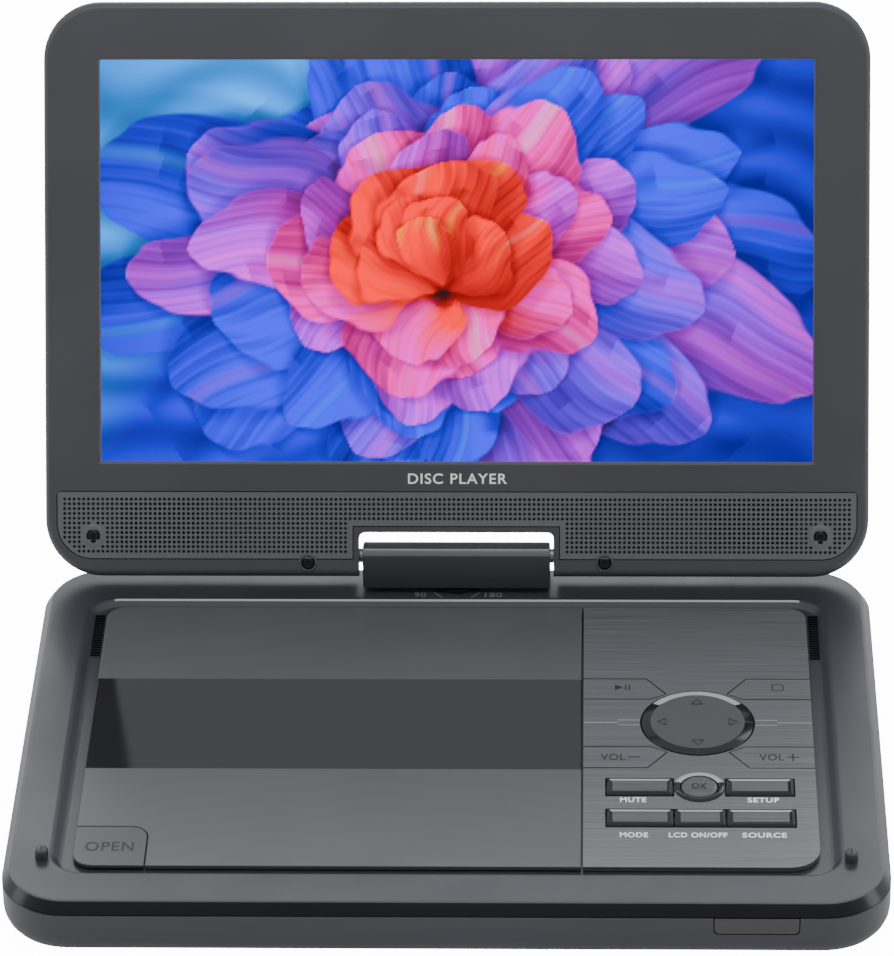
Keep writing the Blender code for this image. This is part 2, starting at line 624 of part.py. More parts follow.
def rod(x, front, back, radius, sides=12):
    """A round bar along Y at the rails' height."""
    bar = turned([(radius, 0.0), (radius, back - front)], sides)
    for vert in bar.verts:
        across, up, along = vert.co
        vert.co = (x + across, front + along, RAIL_HEIGHT + up)
    return bar


def make_drive(steel, plastic, parent):
    """Spindle, sled, rails and lead screw of the disc drive, on one sheet chassis."""
    half = DRIVE_SCREW_OFFSET + 6.0
    chassis = mesh_object("loader_chassis", box(DISC_X - half, DISC_X + half, RAIL_FRONT - 5.0, RAIL_BACK + 5.0,
                                                INSIDE_FLOOR + GAP, CHASSIS_TOP), steel, parent=parent)
    for front in (RAIL_FRONT - BEARING_LENGTH, RAIL_BACK):
        join(chassis, box(DISC_X - half + 3.0, DISC_X + half - 2.0, front, front + BEARING_LENGTH,
                          INSIDE_FLOOR + GAP + 0.4, RAIL_HEIGHT + 3.0))
    for offset in (-RAIL_OFFSET, RAIL_OFFSET):
        cut(chassis, rod(DISC_X + offset, RAIL_FRONT - 3.0, RAIL_BACK + 3.0, RAIL_RADIUS + 0.1))
        side = "left" if offset < 0 else "right"
        mesh_object(f"guide_rail_{side}", rod(DISC_X + offset, RAIL_FRONT - 2.7, RAIL_BACK + 2.7, RAIL_RADIUS),
                    steel, parent=parent, smooth=True)
    screw_x = DISC_X + DRIVE_SCREW_OFFSET
    screw_back = DISC_Y - 8.0
    cut(chassis, rod(screw_x, RAIL_FRONT - 3.0, RAIL_FRONT + 1.0, DRIVE_SCREW_RADIUS + RUN_GAP))
    mesh_object("lead_screw", rod(screw_x, RAIL_FRONT - 2.7, screw_back - GAP, DRIVE_SCREW_RADIUS), steel,
                (screw_x, RAIL_FRONT, RAIL_HEIGHT), parent, smooth=True)
    mesh_object("sled_motor", rod(screw_x, screw_back, RAIL_BACK - GAP, SLED_MOTOR_RADIUS, 16), steel,
                parent=parent, smooth=True)
    can = [(SPINDLE_MOTOR_RADIUS, CHASSIS_TOP + GAP), (SPINDLE_MOTOR_RADIUS, MOTOR_TOP - 0.6),
           (SPINDLE_MOTOR_RADIUS - 1.0, MOTOR_TOP)]
    mesh_object("spindle_motor", turned(can, 32, DISC_X, DISC_Y), steel, parent=parent, smooth=True)
    sled_y = DISC_Y - SLED_START
    sled_right = DISC_X + SLED_WIDTH / 2
    sled = mesh_object("pickup", box(DISC_X - SLED_WIDTH / 2, sled_right, sled_y - SLED_HALF,
                                     sled_y + SLED_HALF, CHASSIS_TOP + 0.5, MOTOR_TOP), plastic,
                       (DISC_X, sled_y, RAIL_HEIGHT), parent)
    join(sled, box(sled_right - 1.0, screw_x + DRIVE_SCREW_RADIUS + 2.0, sled_y - 4.0, sled_y + 4.0,
                   RAIL_HEIGHT - 2.5, RAIL_HEIGHT + 2.5))
    join(sled, turned([(LENS_RADIUS, MOTOR_TOP - 1.0), (LENS_RADIUS, WELL_FLOOR - 0.9),
                       (LENS_RADIUS - 1.0, WELL_FLOOR - 0.3)], 24,
                      DISC_X, sled_y))
    for offset in (-RAIL_OFFSET, RAIL_OFFSET):
        cut(sled, rod(DISC_X + offset, sled_y - 2 * SLED_HALF, sled_y + 2 * SLED_HALF, RAIL_RADIUS + RUN_GAP))
    cut(sled, rod(screw_x, sled_y - 2 * SLED_HALF, sled_y + 2 * SLED_HALF, DRIVE_SCREW_RADIUS + RUN_GAP))
    hub_profile = [(1.0, MOTOR_TOP + GAP), (1.0, WELL_FLOOR + 0.5), (HUB_RADIUS, WELL_FLOOR + 0.5),
                   (HUB_RADIUS, WELL_FLOOR + 2.2), (HUB_NECK_RADIUS, WELL_FLOOR + 2.2),
                   (HUB_NECK_RADIUS, WELL_FLOOR + 4.0), (HUB_NECK_RADIUS - 1.2, WELL_FLOOR + 4.9)]
    mesh_object("turntable_hub", turned(hub_profile, 32, DISC_X, DISC_Y), plastic,
                (DISC_X, DISC_Y, WELL_FLOOR), parent, smooth=True)


def make_electronics(board_green, wrap, silicone, parent):
    """Main board, battery, key board and the silicone mat that springs the keys."""
    outline = [(BATTERY_RIGHT + 2.0, CARD_Y - 16.0), (BOARD_RIGHT, CARD_Y - 16.0), (BOARD_RIGHT, SWITCH_Y + 8.0),
               (BOARD_LEFT, SWITCH_Y + 8.0), (BOARD_LEFT, BATTERY_BACK + 4.0),
               (BATTERY_RIGHT + 2.0, BATTERY_BACK + 4.0)]
    mesh_object("main_board", prism(outline, BOARD_LOW, BOARD_LOW + BOARD_THICK), board_green, parent=parent)
    battery_outline = rounded_outline(BOARD_LEFT, BATTERY_RIGHT, -HALF_DEPTH + BATTERY_FRONT_INSET, BATTERY_BACK,
                                      2.0, 2)
    mesh_object("battery_pack", prism(battery_outline, INSIDE_FLOOR + GAP, INSIDE_FLOOR + 8.6), wrap,
                parent=parent)
    mat = (WINDOW_LEFT + 1.0, WINDOW_RIGHT - 1.0, WINDOW_FRONT + 1.0, WINDOW_BACK - 1.0)
    mesh_object("key_mat", box(*mat, MAT_TOP - MAT_THICK, MAT_TOP), silicone, parent=parent)
    mesh_object("key_board", box(*mat, MAT_TOP - MAT_THICK - GAP - BOARD_THICK,
                                 MAT_TOP - MAT_THICK - GAP), board_green,
                parent=parent)


def connector(name, port, depth, material, parent):
    """A connector block whose face sits just inside the right-hand wall's outer face."""
    y, width, height = PORTS[port]
    face = HALF_WIDTH - PORT_SUNK
    return mesh_object(name, box(face - depth, face, y - width / 2, y + width / 2, PORT_HEIGHT - height / 2,
                                 PORT_HEIGHT + height / 2), material, parent=parent)


def round_x(y, radius, depth, length, sides=20):
    """A round solid along X that starts `depth` inside the right-hand wall's outer face."""
    hole = turned([(radius, 0.0), (radius, length)], sides)
    for vert in hole.verts:
        across, up, along = vert.co
        vert.co = (HALF_WIDTH - depth + along, y + across, PORT_HEIGHT + up)
    return hole


def make_connectors(steel, plastic, parent):
    face = HALF_WIDTH - PORT_SUNK
    usb = connector("usb_port", "usb", PORT_DEPTH, steel, parent)
    cut(usb, box(face - 9.0, face + OVERSHOOT, USB_Y - 6.1, USB_Y + 6.1, PORT_HEIGHT - 2.45,
                 PORT_HEIGHT + 2.45))
    join(usb, box(face - 9.5, face - 1.0, USB_Y - 5.2, USB_Y + 5.2, PORT_HEIGHT + 0.3, PORT_HEIGHT + 1.9))
    card = connector("card_slot", "card", CARD_DEPTH, steel, parent)
    cut(card, box(face - CARD_DEPTH + 4.0, face + OVERSHOOT, CARD_Y - 12.2, CARD_Y + 12.2, PORT_HEIGHT - 1.3,
                  PORT_HEIGHT + 1.3))
    socket = connector("dc_jack", "dc", PORT_DEPTH, plastic, parent)
    cut(socket, round_x(DC_Y, 2.9, 9.0, 9.0 + OVERSHOOT))
    join(socket, round_x(DC_Y, 0.8, 9.5, 8.0, 10))
    jack = connector("headphone_jack", "phones", PORT_DEPTH, plastic, parent)
    cut(jack, round_x(PHONES_Y, 1.8, 12.0, 12.0 + OVERSHOOT, 16))
    knob_y = SWITCH_Y - SWITCH_TRAVEL / 2
    knob = mesh_object("power_switch", box(HALF_WIDTH - WALL - 1.5, HALF_WIDTH - 0.2, knob_y - 2.2,
                                           knob_y + 2.2, PORT_HEIGHT - 1.4, PORT_HEIGHT + 1.4), plastic,
                       (HALF_WIDTH - WALL, knob_y, PORT_HEIGHT), parent)
    cut(knob, box(HALF_WIDTH - 0.7, HALF_WIDTH + OVERSHOOT, knob_y - 0.4, knob_y + 0.4,
                  PORT_HEIGHT - 2.0, PORT_HEIGHT + 2.0))


def make_infrared_window(smoked, parent):
    mesh_object("infrared_window", box(IR_LEFT + GAP, IR_LEFT + IR_WIDTH - GAP, -HALF_DEPTH, -HALF_DEPTH + 1.6,
                                       IR_BOTTOM + GAP, LOWER_TOP), smoked, parent=parent)


def axis_bore(left, right, radius, sides=20):
    """A round solid along X through the tilt axis, in a frame whose zero is on that axis."""
    bar = turned([(radius, left), (radius, right)], sides)
    return along_x(bar)


def make_hinge(plastic, steel, base, swivel):
    """The swivelling neck: a block above the deck, a post through it and a retainer below."""
    front_low = (BLOCK_FRONT, BLOCK_BOTTOM)
    back_low = (BLOCK_BACK, BLOCK_BOTTOM)
    shoulder = (BLOCK_BACK, -BARREL_RADIUS + 1.3)
    barrel = [(BARREL_RADIUS * math.cos(math.radians(a)), BARREL_RADIUS * math.sin(math.radians(a)))
              for a in range(10, 91, 16)]
    ridge = [(BLOCK_FRONT + 3.4, BLOCK_TOP - 0.3), (BLOCK_FRONT + 1.3, BLOCK_TOP - 0.3),
             (BLOCK_FRONT, BLOCK_TOP - 2.0)]
    outline = [front_low, back_low, shoulder, *barrel, *ridge]
    block = along_x(prism(outline, -BLOCK_WIDTH / 2, BLOCK_WIDTH / 2))
    bmesh.ops.translate(block, verts=block.verts, vec=(0.0, PIVOT_Y, PIVOT_Z))
    housing = mesh_object("hinge_housing", block, plastic, (0.0, PIVOT_Y, PIVOT_Z), swivel)
    for side in (-1, 1):
        inner = side * (BLOCK_WIDTH / 2 - PIN_DEPTH)
        outer = side * (BLOCK_WIDTH / 2 + OVERSHOOT)
        bore = axis_bore(min(inner, outer), max(inner, outer), PIN_RADIUS + GAP)
        bmesh.ops.translate(bore, verts=bore.verts, vec=(0.0, PIVOT_Y, PIVOT_Z))
        cut(housing, bore)
    block_underside = PIVOT_Z + BLOCK_BOTTOM
    profile = [(POST_RADIUS, UPPER_BOTTOM - RETAINER_HEIGHT - GAP), (POST_RADIUS, BASE_HEIGHT + GAP),
               (POST_FLANGE_RADIUS, BASE_HEIGHT + GAP), (POST_FLANGE_RADIUS, block_underside - GAP)]
    mesh_object("swivel_post", turned(profile, 24, 0.0, PIVOT_Y), steel, (0.0, PIVOT_Y, BASE_HEIGHT), swivel,
                smooth=True)
    retainer = mesh_object("swivel_retainer",
                           turned([(RETAINER_RADIUS, UPPER_BOTTOM - GAP - RETAINER_HEIGHT),
                                   (RETAINER_RADIUS, UPPER_BOTTOM - GAP)], 24, 0.0, PIVOT_Y),
                           steel, (0.0, PIVOT_Y, BASE_HEIGHT), swivel, smooth=True)
    cut(retainer, turned([(POST_RADIUS + GAP, UPPER_BOTTOM - 3 * RETAINER_HEIGHT),
                          (POST_RADIUS + GAP, UPPER_BOTTOM + OVERSHOOT)], 24, 0.0, PIVOT_Y))


def lid_outline(inset, steps=ROUND_STEPS):
    """The lid in its own frame, X across and Z up the screen, pulled in all round by `inset`."""
    half = LID_WIDTH / 2 - inset
    return rounded_outline(-half, half, LID_BOTTOM + inset, LID_TOP - inset, LID_CORNER - inset, steps)


def notch(clearance, near, far):
    """A cutter for the hinge notch, open below; near and far are heights out of the face."""
    half = NOTCH_WIDTH / 2 + clearance
    outline = rounded_outline(-half, half, LID_BOTTOM - OVERSHOOT, NOTCH_TOP + clearance,
                              (NOTCH_CORNER, NOTCH_CORNER, 0.0, 0.0), 3)
    return to_lid(prism(outline, near, far))


def make_lid_shells(plastic, parent):
    """The front bezel with its screen opening and the rounded back shell."""
    bezel = mesh_object("lid_bezel", to_lid(loft([(lid_outline(0.0), -LID_SPLIT + GAP),
                                                  (lid_outline(0.0), -FACE - LID_EDGE),
                                                  (lid_outline(0.7), -FACE - 0.7),
                                                  (lid_outline(LID_EDGE), -FACE)])),
                        plastic, parent=parent)
    cut(bezel, to_lid(prism(lid_outline(WALL), -LID_SPLIT - OVERSHOOT, -BEZEL_BACK)))
    half = SCREEN_WIDTH / 2
    cut(bezel, to_lid(box(-half, half, SCREEN_BOTTOM, SCREEN_BOTTOM + SCREEN_HEIGHT, -BEZEL_BACK - OVERSHOOT,
                          -FACE + OVERSHOOT)))
    cut(bezel, to_lid(prism(grille_outline(GAP), -GRILLE_SEAT, -FACE + OVERSHOOT)))
    for x in (-SPEAKER_X, SPEAKER_X):
        cut(bezel, to_lid(box(x - SPEAKER_WIDTH / 2 + 1.0, x + SPEAKER_WIDTH / 2 - 1.0, GRILLE_BOTTOM + 3.5,
                              GRILLE_TOP - 2.5, -BEZEL_BACK - OVERSHOOT, -FACE + OVERSHOOT)))
    cut(bezel, notch(0.0, -LID_SPLIT - OVERSHOOT, -FACE + OVERSHOOT))
    for x, z in screw_centres():
        cut(bezel, to_lid(turned([(SCREW_HEAD + GAP, -FACE - SCREW_SINK - 0.9),
                                  (SCREW_HEAD + GAP, -FACE + OVERSHOOT)], 20, x, z)))
    sections = []
    for step in range(4):
        angle = math.radians(90.0 * step / 3)
        sections.append((lid_outline(LID_BACK_ROUND * (1 - math.sin(angle))),
                         -LID_BACK + LID_BACK_ROUND * (1 - math.cos(angle))))
    back = mesh_object("lid_back_shell", to_lid(loft([*sections, (lid_outline(0.0), -LID_SPLIT)])), plastic,
                       parent=parent)
    inner = []
    inner_round = LID_BACK_ROUND - WALL
    for step in range(4):
        angle = math.radians(90.0 * step / 3)
        inner.append((lid_outline(WALL + inner_round * (1 - math.sin(angle))),
                      -CAVITY_BACK + inner_round * (1 - math.cos(angle))))
    cut(back, to_lid(loft([*inner, (lid_outline(WALL), -LID_SPLIT + OVERSHOOT)])))
    half = NOTCH_WIDTH / 2 + BACK_NOTCH_GROW + WALL
    wall_top = NOTCH_TOP + BACK_NOTCH_GROW + WALL
    wall_outline = [(-half, LID_BOTTOM + LID_BACK_ROUND), (half, LID_BOTTOM + LID_BACK_ROUND),
                    (half, wall_top), (-half, wall_top)]
    join(back, to_lid(prism(wall_outline, -CAVITY_BACK - 0.5, -LID_SPLIT)))
    cut(back, notch(BACK_NOTCH_GROW, -LID_BACK - OVERSHOOT, -LID_SPLIT + OVERSHOOT))
    cut(back, axis_bore(-half - OVERSHOOT, half + OVERSHOOT, PIN_RADIUS + GAP))


def screw_centres():
    """The lid screws: two at the ends of the grille and two at its lower edge."""
    end_x = GRILLE_WIDTH / 2 - END_SCREW_INSET
    end_z = GRILLE_BOTTOM + END_SCREW_RISE
    low_x = NOTCH_WIDTH / 2 + LOW_SCREW_REACH
    low_z = LID_BOTTOM + LOW_SCREW_RISE
    return [(-end_x, end_z), (-low_x, low_z), (low_x, low_z), (end_x, end_z)]


def grille_plate(grow):
    """The speaker band below the screen, before its step round the hinge notch."""
    half = GRILLE_WIDTH / 2 + grow
    return rounded_outline(-half, half, GRILLE_BOTTOM - grow, GRILLE_TOP + grow, (1.5, 1.5, 11.0, 11.0), 4)


def grille_outline(grow):
    """The speaker band, stepped up round the hinge notch."""
    step = NOTCH_WIDTH / 2 + GRILLE_STEP - grow
    low = GRILLE_BOTTOM - grow
    ledge = NOTCH_TOP + GRILLE_STEP - grow
    outer = grille_plate(grow)
    front_left = [p for p in outer if p[1] < GRILLE_TOP / 2 and p[0] < 0]
    front_right = [p for p in outer if p[1] < GRILLE_TOP / 2 and p[0] > 0]
    top = [p for p in outer if p[1] >= GRILLE_TOP / 2]
    return [*top, *front_left, (-step, low), (-step, ledge), (step, ledge), (step, low), *front_right]


def make_lid_front(mesh_plastic, steel, parent):
    """The grille insert and the four screws through it."""
    top = -FACE - GRILLE_SUNK
    plate = prism(grille_plate(0.0), top - GRILLE_THICK, top)
    grille = mesh_object("speaker_grille", to_lid(plate), mesh_plastic, parent=parent)
    step = NOTCH_WIDTH / 2 + GRILLE_STEP
    cut(grille, to_lid(box(-step, step, GRILLE_BOTTOM - OVERSHOOT, NOTCH_TOP + GRILLE_STEP,
                           -FACE - OVERSHOOT, -FACE + OVERSHOOT)))
    for number, (x, z) in enumerate(screw_centres(), 1):
        cut(grille, to_lid(turned([(SCREW_HEAD + GAP, -FACE - OVERSHOOT), (SCREW_HEAD + GAP, -FACE + OVERSHOOT)],
                                  20, x, z)))
        mesh_object(f"lid_screw_{number}",
                    to_lid(turned([(SCREW_HEAD, -FACE - SCREW_SINK - 0.7), (SCREW_HEAD, -FACE - SCREW_SINK - 0.2),
                                   (SCREW_HEAD - 0.4, -FACE - SCREW_SINK)], 16, x, z)), steel,
                    (x, FACE, z), parent, smooth=True)


def make_screen(glass, metal, parent):
    """The screen panel behind the bezel and the backlight tray behind the panel."""
    half = PANEL_WIDTH / 2
    low = SCREEN_MIDDLE - PANEL_HEIGHT / 2
    high = SCREEN_MIDDLE + PANEL_HEIGHT / 2
    mesh_object("screen_panel", to_lid(box(-half, half, low, high, -PANEL_BACK, -PANEL_FRONT)), glass,
                parent=parent)
    tray_front = PANEL_BACK + GAP
    mesh_object("backlight_tray", to_lid(box(-half, half, low, high, -tray_front - BACKLIGHT_THICK, -tray_front)),
                metal, parent=parent)


def make_lid_inside(cone, board_green, steel, parent):
    """Speakers behind the grille, the screen's driver board and the hinge pins with their brackets."""
    for name, x in (("speaker_left", -SPEAKER_X), ("speaker_right", SPEAKER_X)):
        left = x - SPEAKER_WIDTH / 2
        right = x + SPEAKER_WIDTH / 2
        speaker = mesh_object(name, to_lid(box(left, right, GRILLE_BOTTOM + 1.5, GRILLE_TOP - 1.0,
                                               -PANEL_FRONT - SPEAKER_DEPTH, -PANEL_FRONT)), cone, parent=parent)
        dish = [(CONE_RADIUS, -PANEL_FRONT + OVERSHOOT), (CONE_RADIUS, -PANEL_FRONT - 0.2),
                (CONE_RADIUS - 5.0, -PANEL_FRONT - 2.0)]
        dish_solid = to_lid(turned(list(reversed(dish)), 24, x, (GRILLE_BOTTOM + GRILLE_TOP) / 2))
        for vert in dish_solid.verts:
            middle = (GRILLE_BOTTOM + GRILLE_TOP) / 2
            vert.co.z = middle + (vert.co.z - middle) * 0.78
        cut(speaker, dish_solid)
    board_top = SCREEN_MIDDLE - PANEL_HEIGHT / 2 - 1.0
    mesh_object("screen_board", to_lid(box(-SCREEN_BOARD_HALF, SCREEN_BOARD_HALF, NOTCH_TOP + 4.0, board_top,
                                           LID_SPLIT - BOARD_THICK, LID_SPLIT)), board_green, parent=parent)
    for name, side in (("left", -1), ("right", 1)):
        pin_inner = side * (BLOCK_WIDTH / 2 - PIN_DEPTH + 0.6)
        pin_outer = pin_inner + side * PIN_LENGTH
        mesh_object(f"hinge_pin_{name}", axis_bore(min(pin_inner, pin_outer), max(pin_inner, pin_outer),
                                                   PIN_RADIUS), steel, parent=parent, smooth=True)
        near = side * (NOTCH_WIDTH / 2 + BACK_NOTCH_GROW + WALL + GAP)
        far = near + side * BRACKET_WIDTH
        bracket = mesh_object(f"hinge_bracket_{name}",
                              to_lid(box(min(near, far), max(near, far), -PIN_RADIUS - 1.1, BRACKET_TOP,
                                         -PIN_RADIUS - 0.8, 4.0)),
                              steel, parent=parent)
        cut(bracket, axis_bore(min(near, far) - OVERSHOOT, max(near, far) + OVERSHOOT, PIN_RADIUS + GAP))


def empty(name, location, parent=None, lean=0.0):
    """A frame for parenting; `lean` turns it back about X, in degrees."""
    frame = bpy.data.objects.new(name, None)
    bpy.context.scene.collection.objects.link(frame)
    frame.location = [c * MM for c in location]
    frame.rotation_euler.x = math.radians(-lean)
    frame.parent = parent
    return frame


def stand_on_origin(root):
    """Move the whole object along Y until the middle of its box is over the world origin."""
    bpy.context.view_layer.update()
    solids = [obj for obj in bpy.data.objects if obj.type == "MESH" and not obj.hide_render]
    ys = [(obj.matrix_world @ vert.co).y for obj in solids for vert in obj.data.vertices]
    root.location.y -= (min(ys) + max(ys)) / 2


def main():
    for obj in list(bpy.data.objects):
        bpy.data.objects.remove(obj)

    black = paint("satin_black", (0.055, 0.055, 0.062), 0.42)
    fascia_grey = paint("brushed_fascia", (0.13, 0.13, 0.14), 0.35, 0.6)
    gloss = paint("gloss_black", (0.02, 0.02, 0.024), 0.15)
    rubber = paint("rubber", (0.03, 0.03, 0.03), 0.8)
    steel = paint("steel", (0.5, 0.5, 0.52), 0.35, 1.0)
    dark_steel = paint("blackened_steel", (0.08, 0.08, 0.08), 0.4, 0.8)
    board_green = paint("board_green", (0.02, 0.16, 0.07), 0.5)
    wrap = paint("battery_wrap", (0.05, 0.09, 0.25), 0.4)
    silicone = paint("silicone", (0.55, 0.55, 0.52), 0.7)
    smoked = paint("smoked_window", (0.05, 0.03, 0.03), 0.1)
    cone = paint("speaker_cone", (0.07, 0.07, 0.07), 0.7)
    screen = paint("screen", (0.1, 0.25, 0.7), 0.1)

    root = empty("player", (0.0, 0.0, 0.0))
    swivel = empty("swivel_axis", (0.0, 0.0, 0.0), root)
    lid = empty("tilt_axis", (0.0, PIVOT_Y, PIVOT_Z), swivel, LEAN_DEG)

    make_lower_shell(black, root)
    make_upper_shell(black, root)
    make_feet(rubber, root)
    make_bumpers(rubber, root)
    make_fascia(fascia_grey, root)
    make_row_keys(gloss, root)
    make_corner_keys(fascia_grey, root)
    make_pad(black, steel, root)
    make_cover(black, root)
    make_drive(steel, black, root)
    make_electronics(board_green, wrap, silicone, root)
    make_connectors(steel, black, root)
    make_infrared_window(smoked, root)
    make_hinge(gloss, dark_steel, root, swivel)
    make_lid_shells(black, lid)
    make_lid_front(black, dark_steel, lid)
    make_screen(screen, steel, lid)
    make_lid_inside(cone, board_green, steel, lid)
    stand_on_origin(root)


main()
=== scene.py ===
"""Looks of the portable disc player: every visible piece, its finish, the floor, light and camera."""
import math

import bpy
import numpy as np
from mathutils import Matrix, Vector


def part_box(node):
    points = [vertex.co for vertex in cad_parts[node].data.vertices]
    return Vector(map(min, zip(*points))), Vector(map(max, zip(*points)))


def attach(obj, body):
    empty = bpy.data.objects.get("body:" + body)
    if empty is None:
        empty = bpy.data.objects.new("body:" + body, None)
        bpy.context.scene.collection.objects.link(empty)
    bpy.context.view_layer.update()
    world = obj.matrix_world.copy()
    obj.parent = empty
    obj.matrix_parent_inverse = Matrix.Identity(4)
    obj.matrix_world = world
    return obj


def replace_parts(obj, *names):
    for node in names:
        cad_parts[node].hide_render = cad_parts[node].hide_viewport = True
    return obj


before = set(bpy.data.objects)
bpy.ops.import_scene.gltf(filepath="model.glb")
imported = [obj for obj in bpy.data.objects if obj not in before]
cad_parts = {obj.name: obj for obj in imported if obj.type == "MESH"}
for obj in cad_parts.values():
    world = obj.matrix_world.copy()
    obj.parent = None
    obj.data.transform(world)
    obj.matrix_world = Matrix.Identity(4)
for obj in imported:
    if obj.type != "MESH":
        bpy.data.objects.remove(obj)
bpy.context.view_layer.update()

# ---------------------------------------------------------------------------------------------
# Camera: it stands in front of the player, about 32 degrees above the table and far enough back
# for a long lens, and looks at a point in the lower part of the lid.
MM = 0.001


def node_span(node):
    """The low and the high corner of a CAD node's box, in millimetres."""
    return [np.array(corner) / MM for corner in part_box(node)]


BASE_LOW, BASE_HIGH = node_span("base_upper_shell")
BASE_MIDDLE_Y = (BASE_LOW[1] + BASE_HIGH[1]) / 2
CAMERA_DISTANCE = 1538.8
CAMERA_ELEVATION = math.radians(31.685)
CAMERA_YAW = math.radians(1.828)
CAMERA_ROLL = math.radians(-0.876)
CAMERA_AIM = np.array([-0.09, BASE_MIDDLE_Y, 109.0])
CAMERA_LENS = 197.4
SENSOR_WIDTH = 36.0
back = np.array([math.sin(CAMERA_YAW) * math.cos(CAMERA_ELEVATION),
                 -math.cos(CAMERA_YAW) * math.cos(CAMERA_ELEVATION), math.sin(CAMERA_ELEVATION)])
right = np.cross([0.0, 0.0, 1.0], back)
right /= np.linalg.norm(right)
up = np.cross(back, right)
turned_right = right * math.cos(CAMERA_ROLL) + up * math.sin(CAMERA_ROLL)
turned_up = np.cross(back, turned_right)
camera = bpy.data.objects.new("camera", bpy.data.cameras.new("camera"))
bpy.context.scene.collection.objects.link(camera)
bpy.context.scene.camera = camera
camera.data.lens = CAMERA_LENS
camera.data.sensor_width = SENSOR_WIDTH
camera.data.clip_end = 20.0
place = Matrix([[*column] for column in zip(turned_right, turned_up, back)]).to_4x4()
place.translation = Vector((CAMERA_AIM + back * CAMERA_DISTANCE) * MM)
camera.matrix_world = place

# ---------------------------------------------------------------------------------------------
# Studio: a white floor and a white surround, which the camera sees far brighter than they light the
# player, and soft panels behind, beside and in front so that dark edges pick up pale reflections.
BACKDROP = 14.0
FLOOR_GLOW = 0.12
FLOOR_REACH = 6.0


def node_material(name):
    """An empty node material: its nodes, links and Principled shader."""
    material = bpy.data.materials.new(name)
    material.use_nodes = True
    nodes = material.node_tree.nodes
    return material, nodes, material.node_tree.links, nodes["Principled BSDF"]


def soft_panel(name, location, target, size, power):
    """A rectangular area light that faces `target`."""
    light = bpy.data.lights.new(name, "AREA")
    light.shape = "RECTANGLE"
    light.size, light.size_y = size
    light.energy = power
    lamp = bpy.data.objects.new(name, light)
    bpy.context.scene.collection.objects.link(lamp)
    lamp.location = location
    lamp.rotation_euler = (Vector(target) - Vector(location)).to_track_quat("-Z", "Y").to_euler()


floor_mesh = bpy.data.meshes.new("floor")
floor_corners = [(x * FLOOR_REACH, y * FLOOR_REACH, 0.0) for x, y in ((-1, -1), (1, -1), (1, 1), (-1, 1))]
floor_mesh.from_pydata(floor_corners, [], [(0, 1, 2, 3)])
floor = bpy.data.objects.new("floor", floor_mesh)
bpy.context.scene.collection.objects.link(floor)
floor_material, nodes, links, shader = node_material("pale_floor")
shader.inputs["Base Color"].default_value = (0.9, 0.9, 0.9, 1.0)
shader.inputs["Roughness"].default_value = 0.9
shader.inputs["Specular IOR Level"].default_value = 0.1
shader.inputs["Emission Color"].default_value = (1.0, 1.0, 1.0, 1.0)


def seen_or_lit(nodes, links, seen, lit):
    """One value where the camera looks straight at a surface and another for every other ray."""
    mapping = nodes.new("ShaderNodeMapRange")
    mapping.inputs["To Max"].default_value = seen
    if isinstance(lit, float):
        mapping.inputs["To Min"].default_value = lit
    else:
        links.new(lit, mapping.inputs["To Min"])
    links.new(nodes.new("ShaderNodeLightPath").outputs["Is Camera Ray"], mapping.inputs["Value"])
    return mapping.outputs["Result"]


links.new(seen_or_lit(nodes, links, BACKDROP, FLOOR_GLOW), shader.inputs["Emission Strength"])
floor_mesh.materials.append(floor_material)

world = bpy.data.worlds.new("surround")
bpy.context.scene.world = world
world.use_nodes = True
nodes, links = world.node_tree.nodes, world.node_tree.links
rise = nodes.new("ShaderNodeVectorMath")
rise.operation = "DOT_PRODUCT"
rise.inputs[1].default_value = (0.0, 1.0, 1.0)
links.new(nodes.new("ShaderNodeTexCoord").outputs["Generated"], rise.inputs[0])
wall = nodes.new("ShaderNodeMapRange")
wall.interpolation_type = "SMOOTHSTEP"
for label, number in (("From Min", -0.25), ("From Max", 0.6), ("To Min", 0.2), ("To Max", 1.0)):
    wall.inputs[label].default_value = number
links.new(rise.outputs["Value"], wall.inputs["Value"])
background = nodes["Background"]
links.new(seen_or_lit(nodes, links, BACKDROP, wall.outputs["Result"]), background.inputs["Strength"])
background.inputs["Color"].default_value = (0.97, 0.98, 1.0, 1.0)
for name, location, target, size, power in (
        ("rear_panel", (0.0, 1.3, 1.0), (0.0, 0.0, 0.0), (1.8, 0.5), 9.0),
        ("left_panel", (-1.3, -0.1, 0.7), (0.0, 0.0, 0.05), (0.5, 1.2), 2.6),
        ("right_panel", (1.3, -0.1, 0.7), (0.0, 0.0, 0.05), (0.5, 1.2), 3.8),
        ("front_panel", (0.0, -0.9, 1.7), (0.0, 0.0, 0.1), (1.6, 0.4), 9.0)):
    soft_panel(name, location, target, size, power)

# ---------------------------------------------------------------------------------------------
# Lower shell: a moulded ABS tub with a generous bottom round. The connectors look out through its
# right-hand wall, the remote window sits at the front, and four feet are pressed into pockets.
HALF_WIDTH = (BASE_HIGH[0] - BASE_LOW[0]) / 2
HALF_DEPTH = (BASE_HIGH[1] - BASE_LOW[1]) / 2
BASE_CORNER = 20.0
WALL = 2.0
SHELL_BOTTOM = 1.5
SPLIT_LOW = 16.25
SPLIT_HIGH = 16.55
BOTTOM_ROUND = 7.0
PORT_IN, PORT_OUT = HALF_WIDTH - 4.0, HALF_WIDTH + 3.0
WINDOW_LOW, WINDOW_HIGH = node_span("infrared_window")
WINDOW_FACE = BASE_MIDDLE_Y - HALF_DEPTH


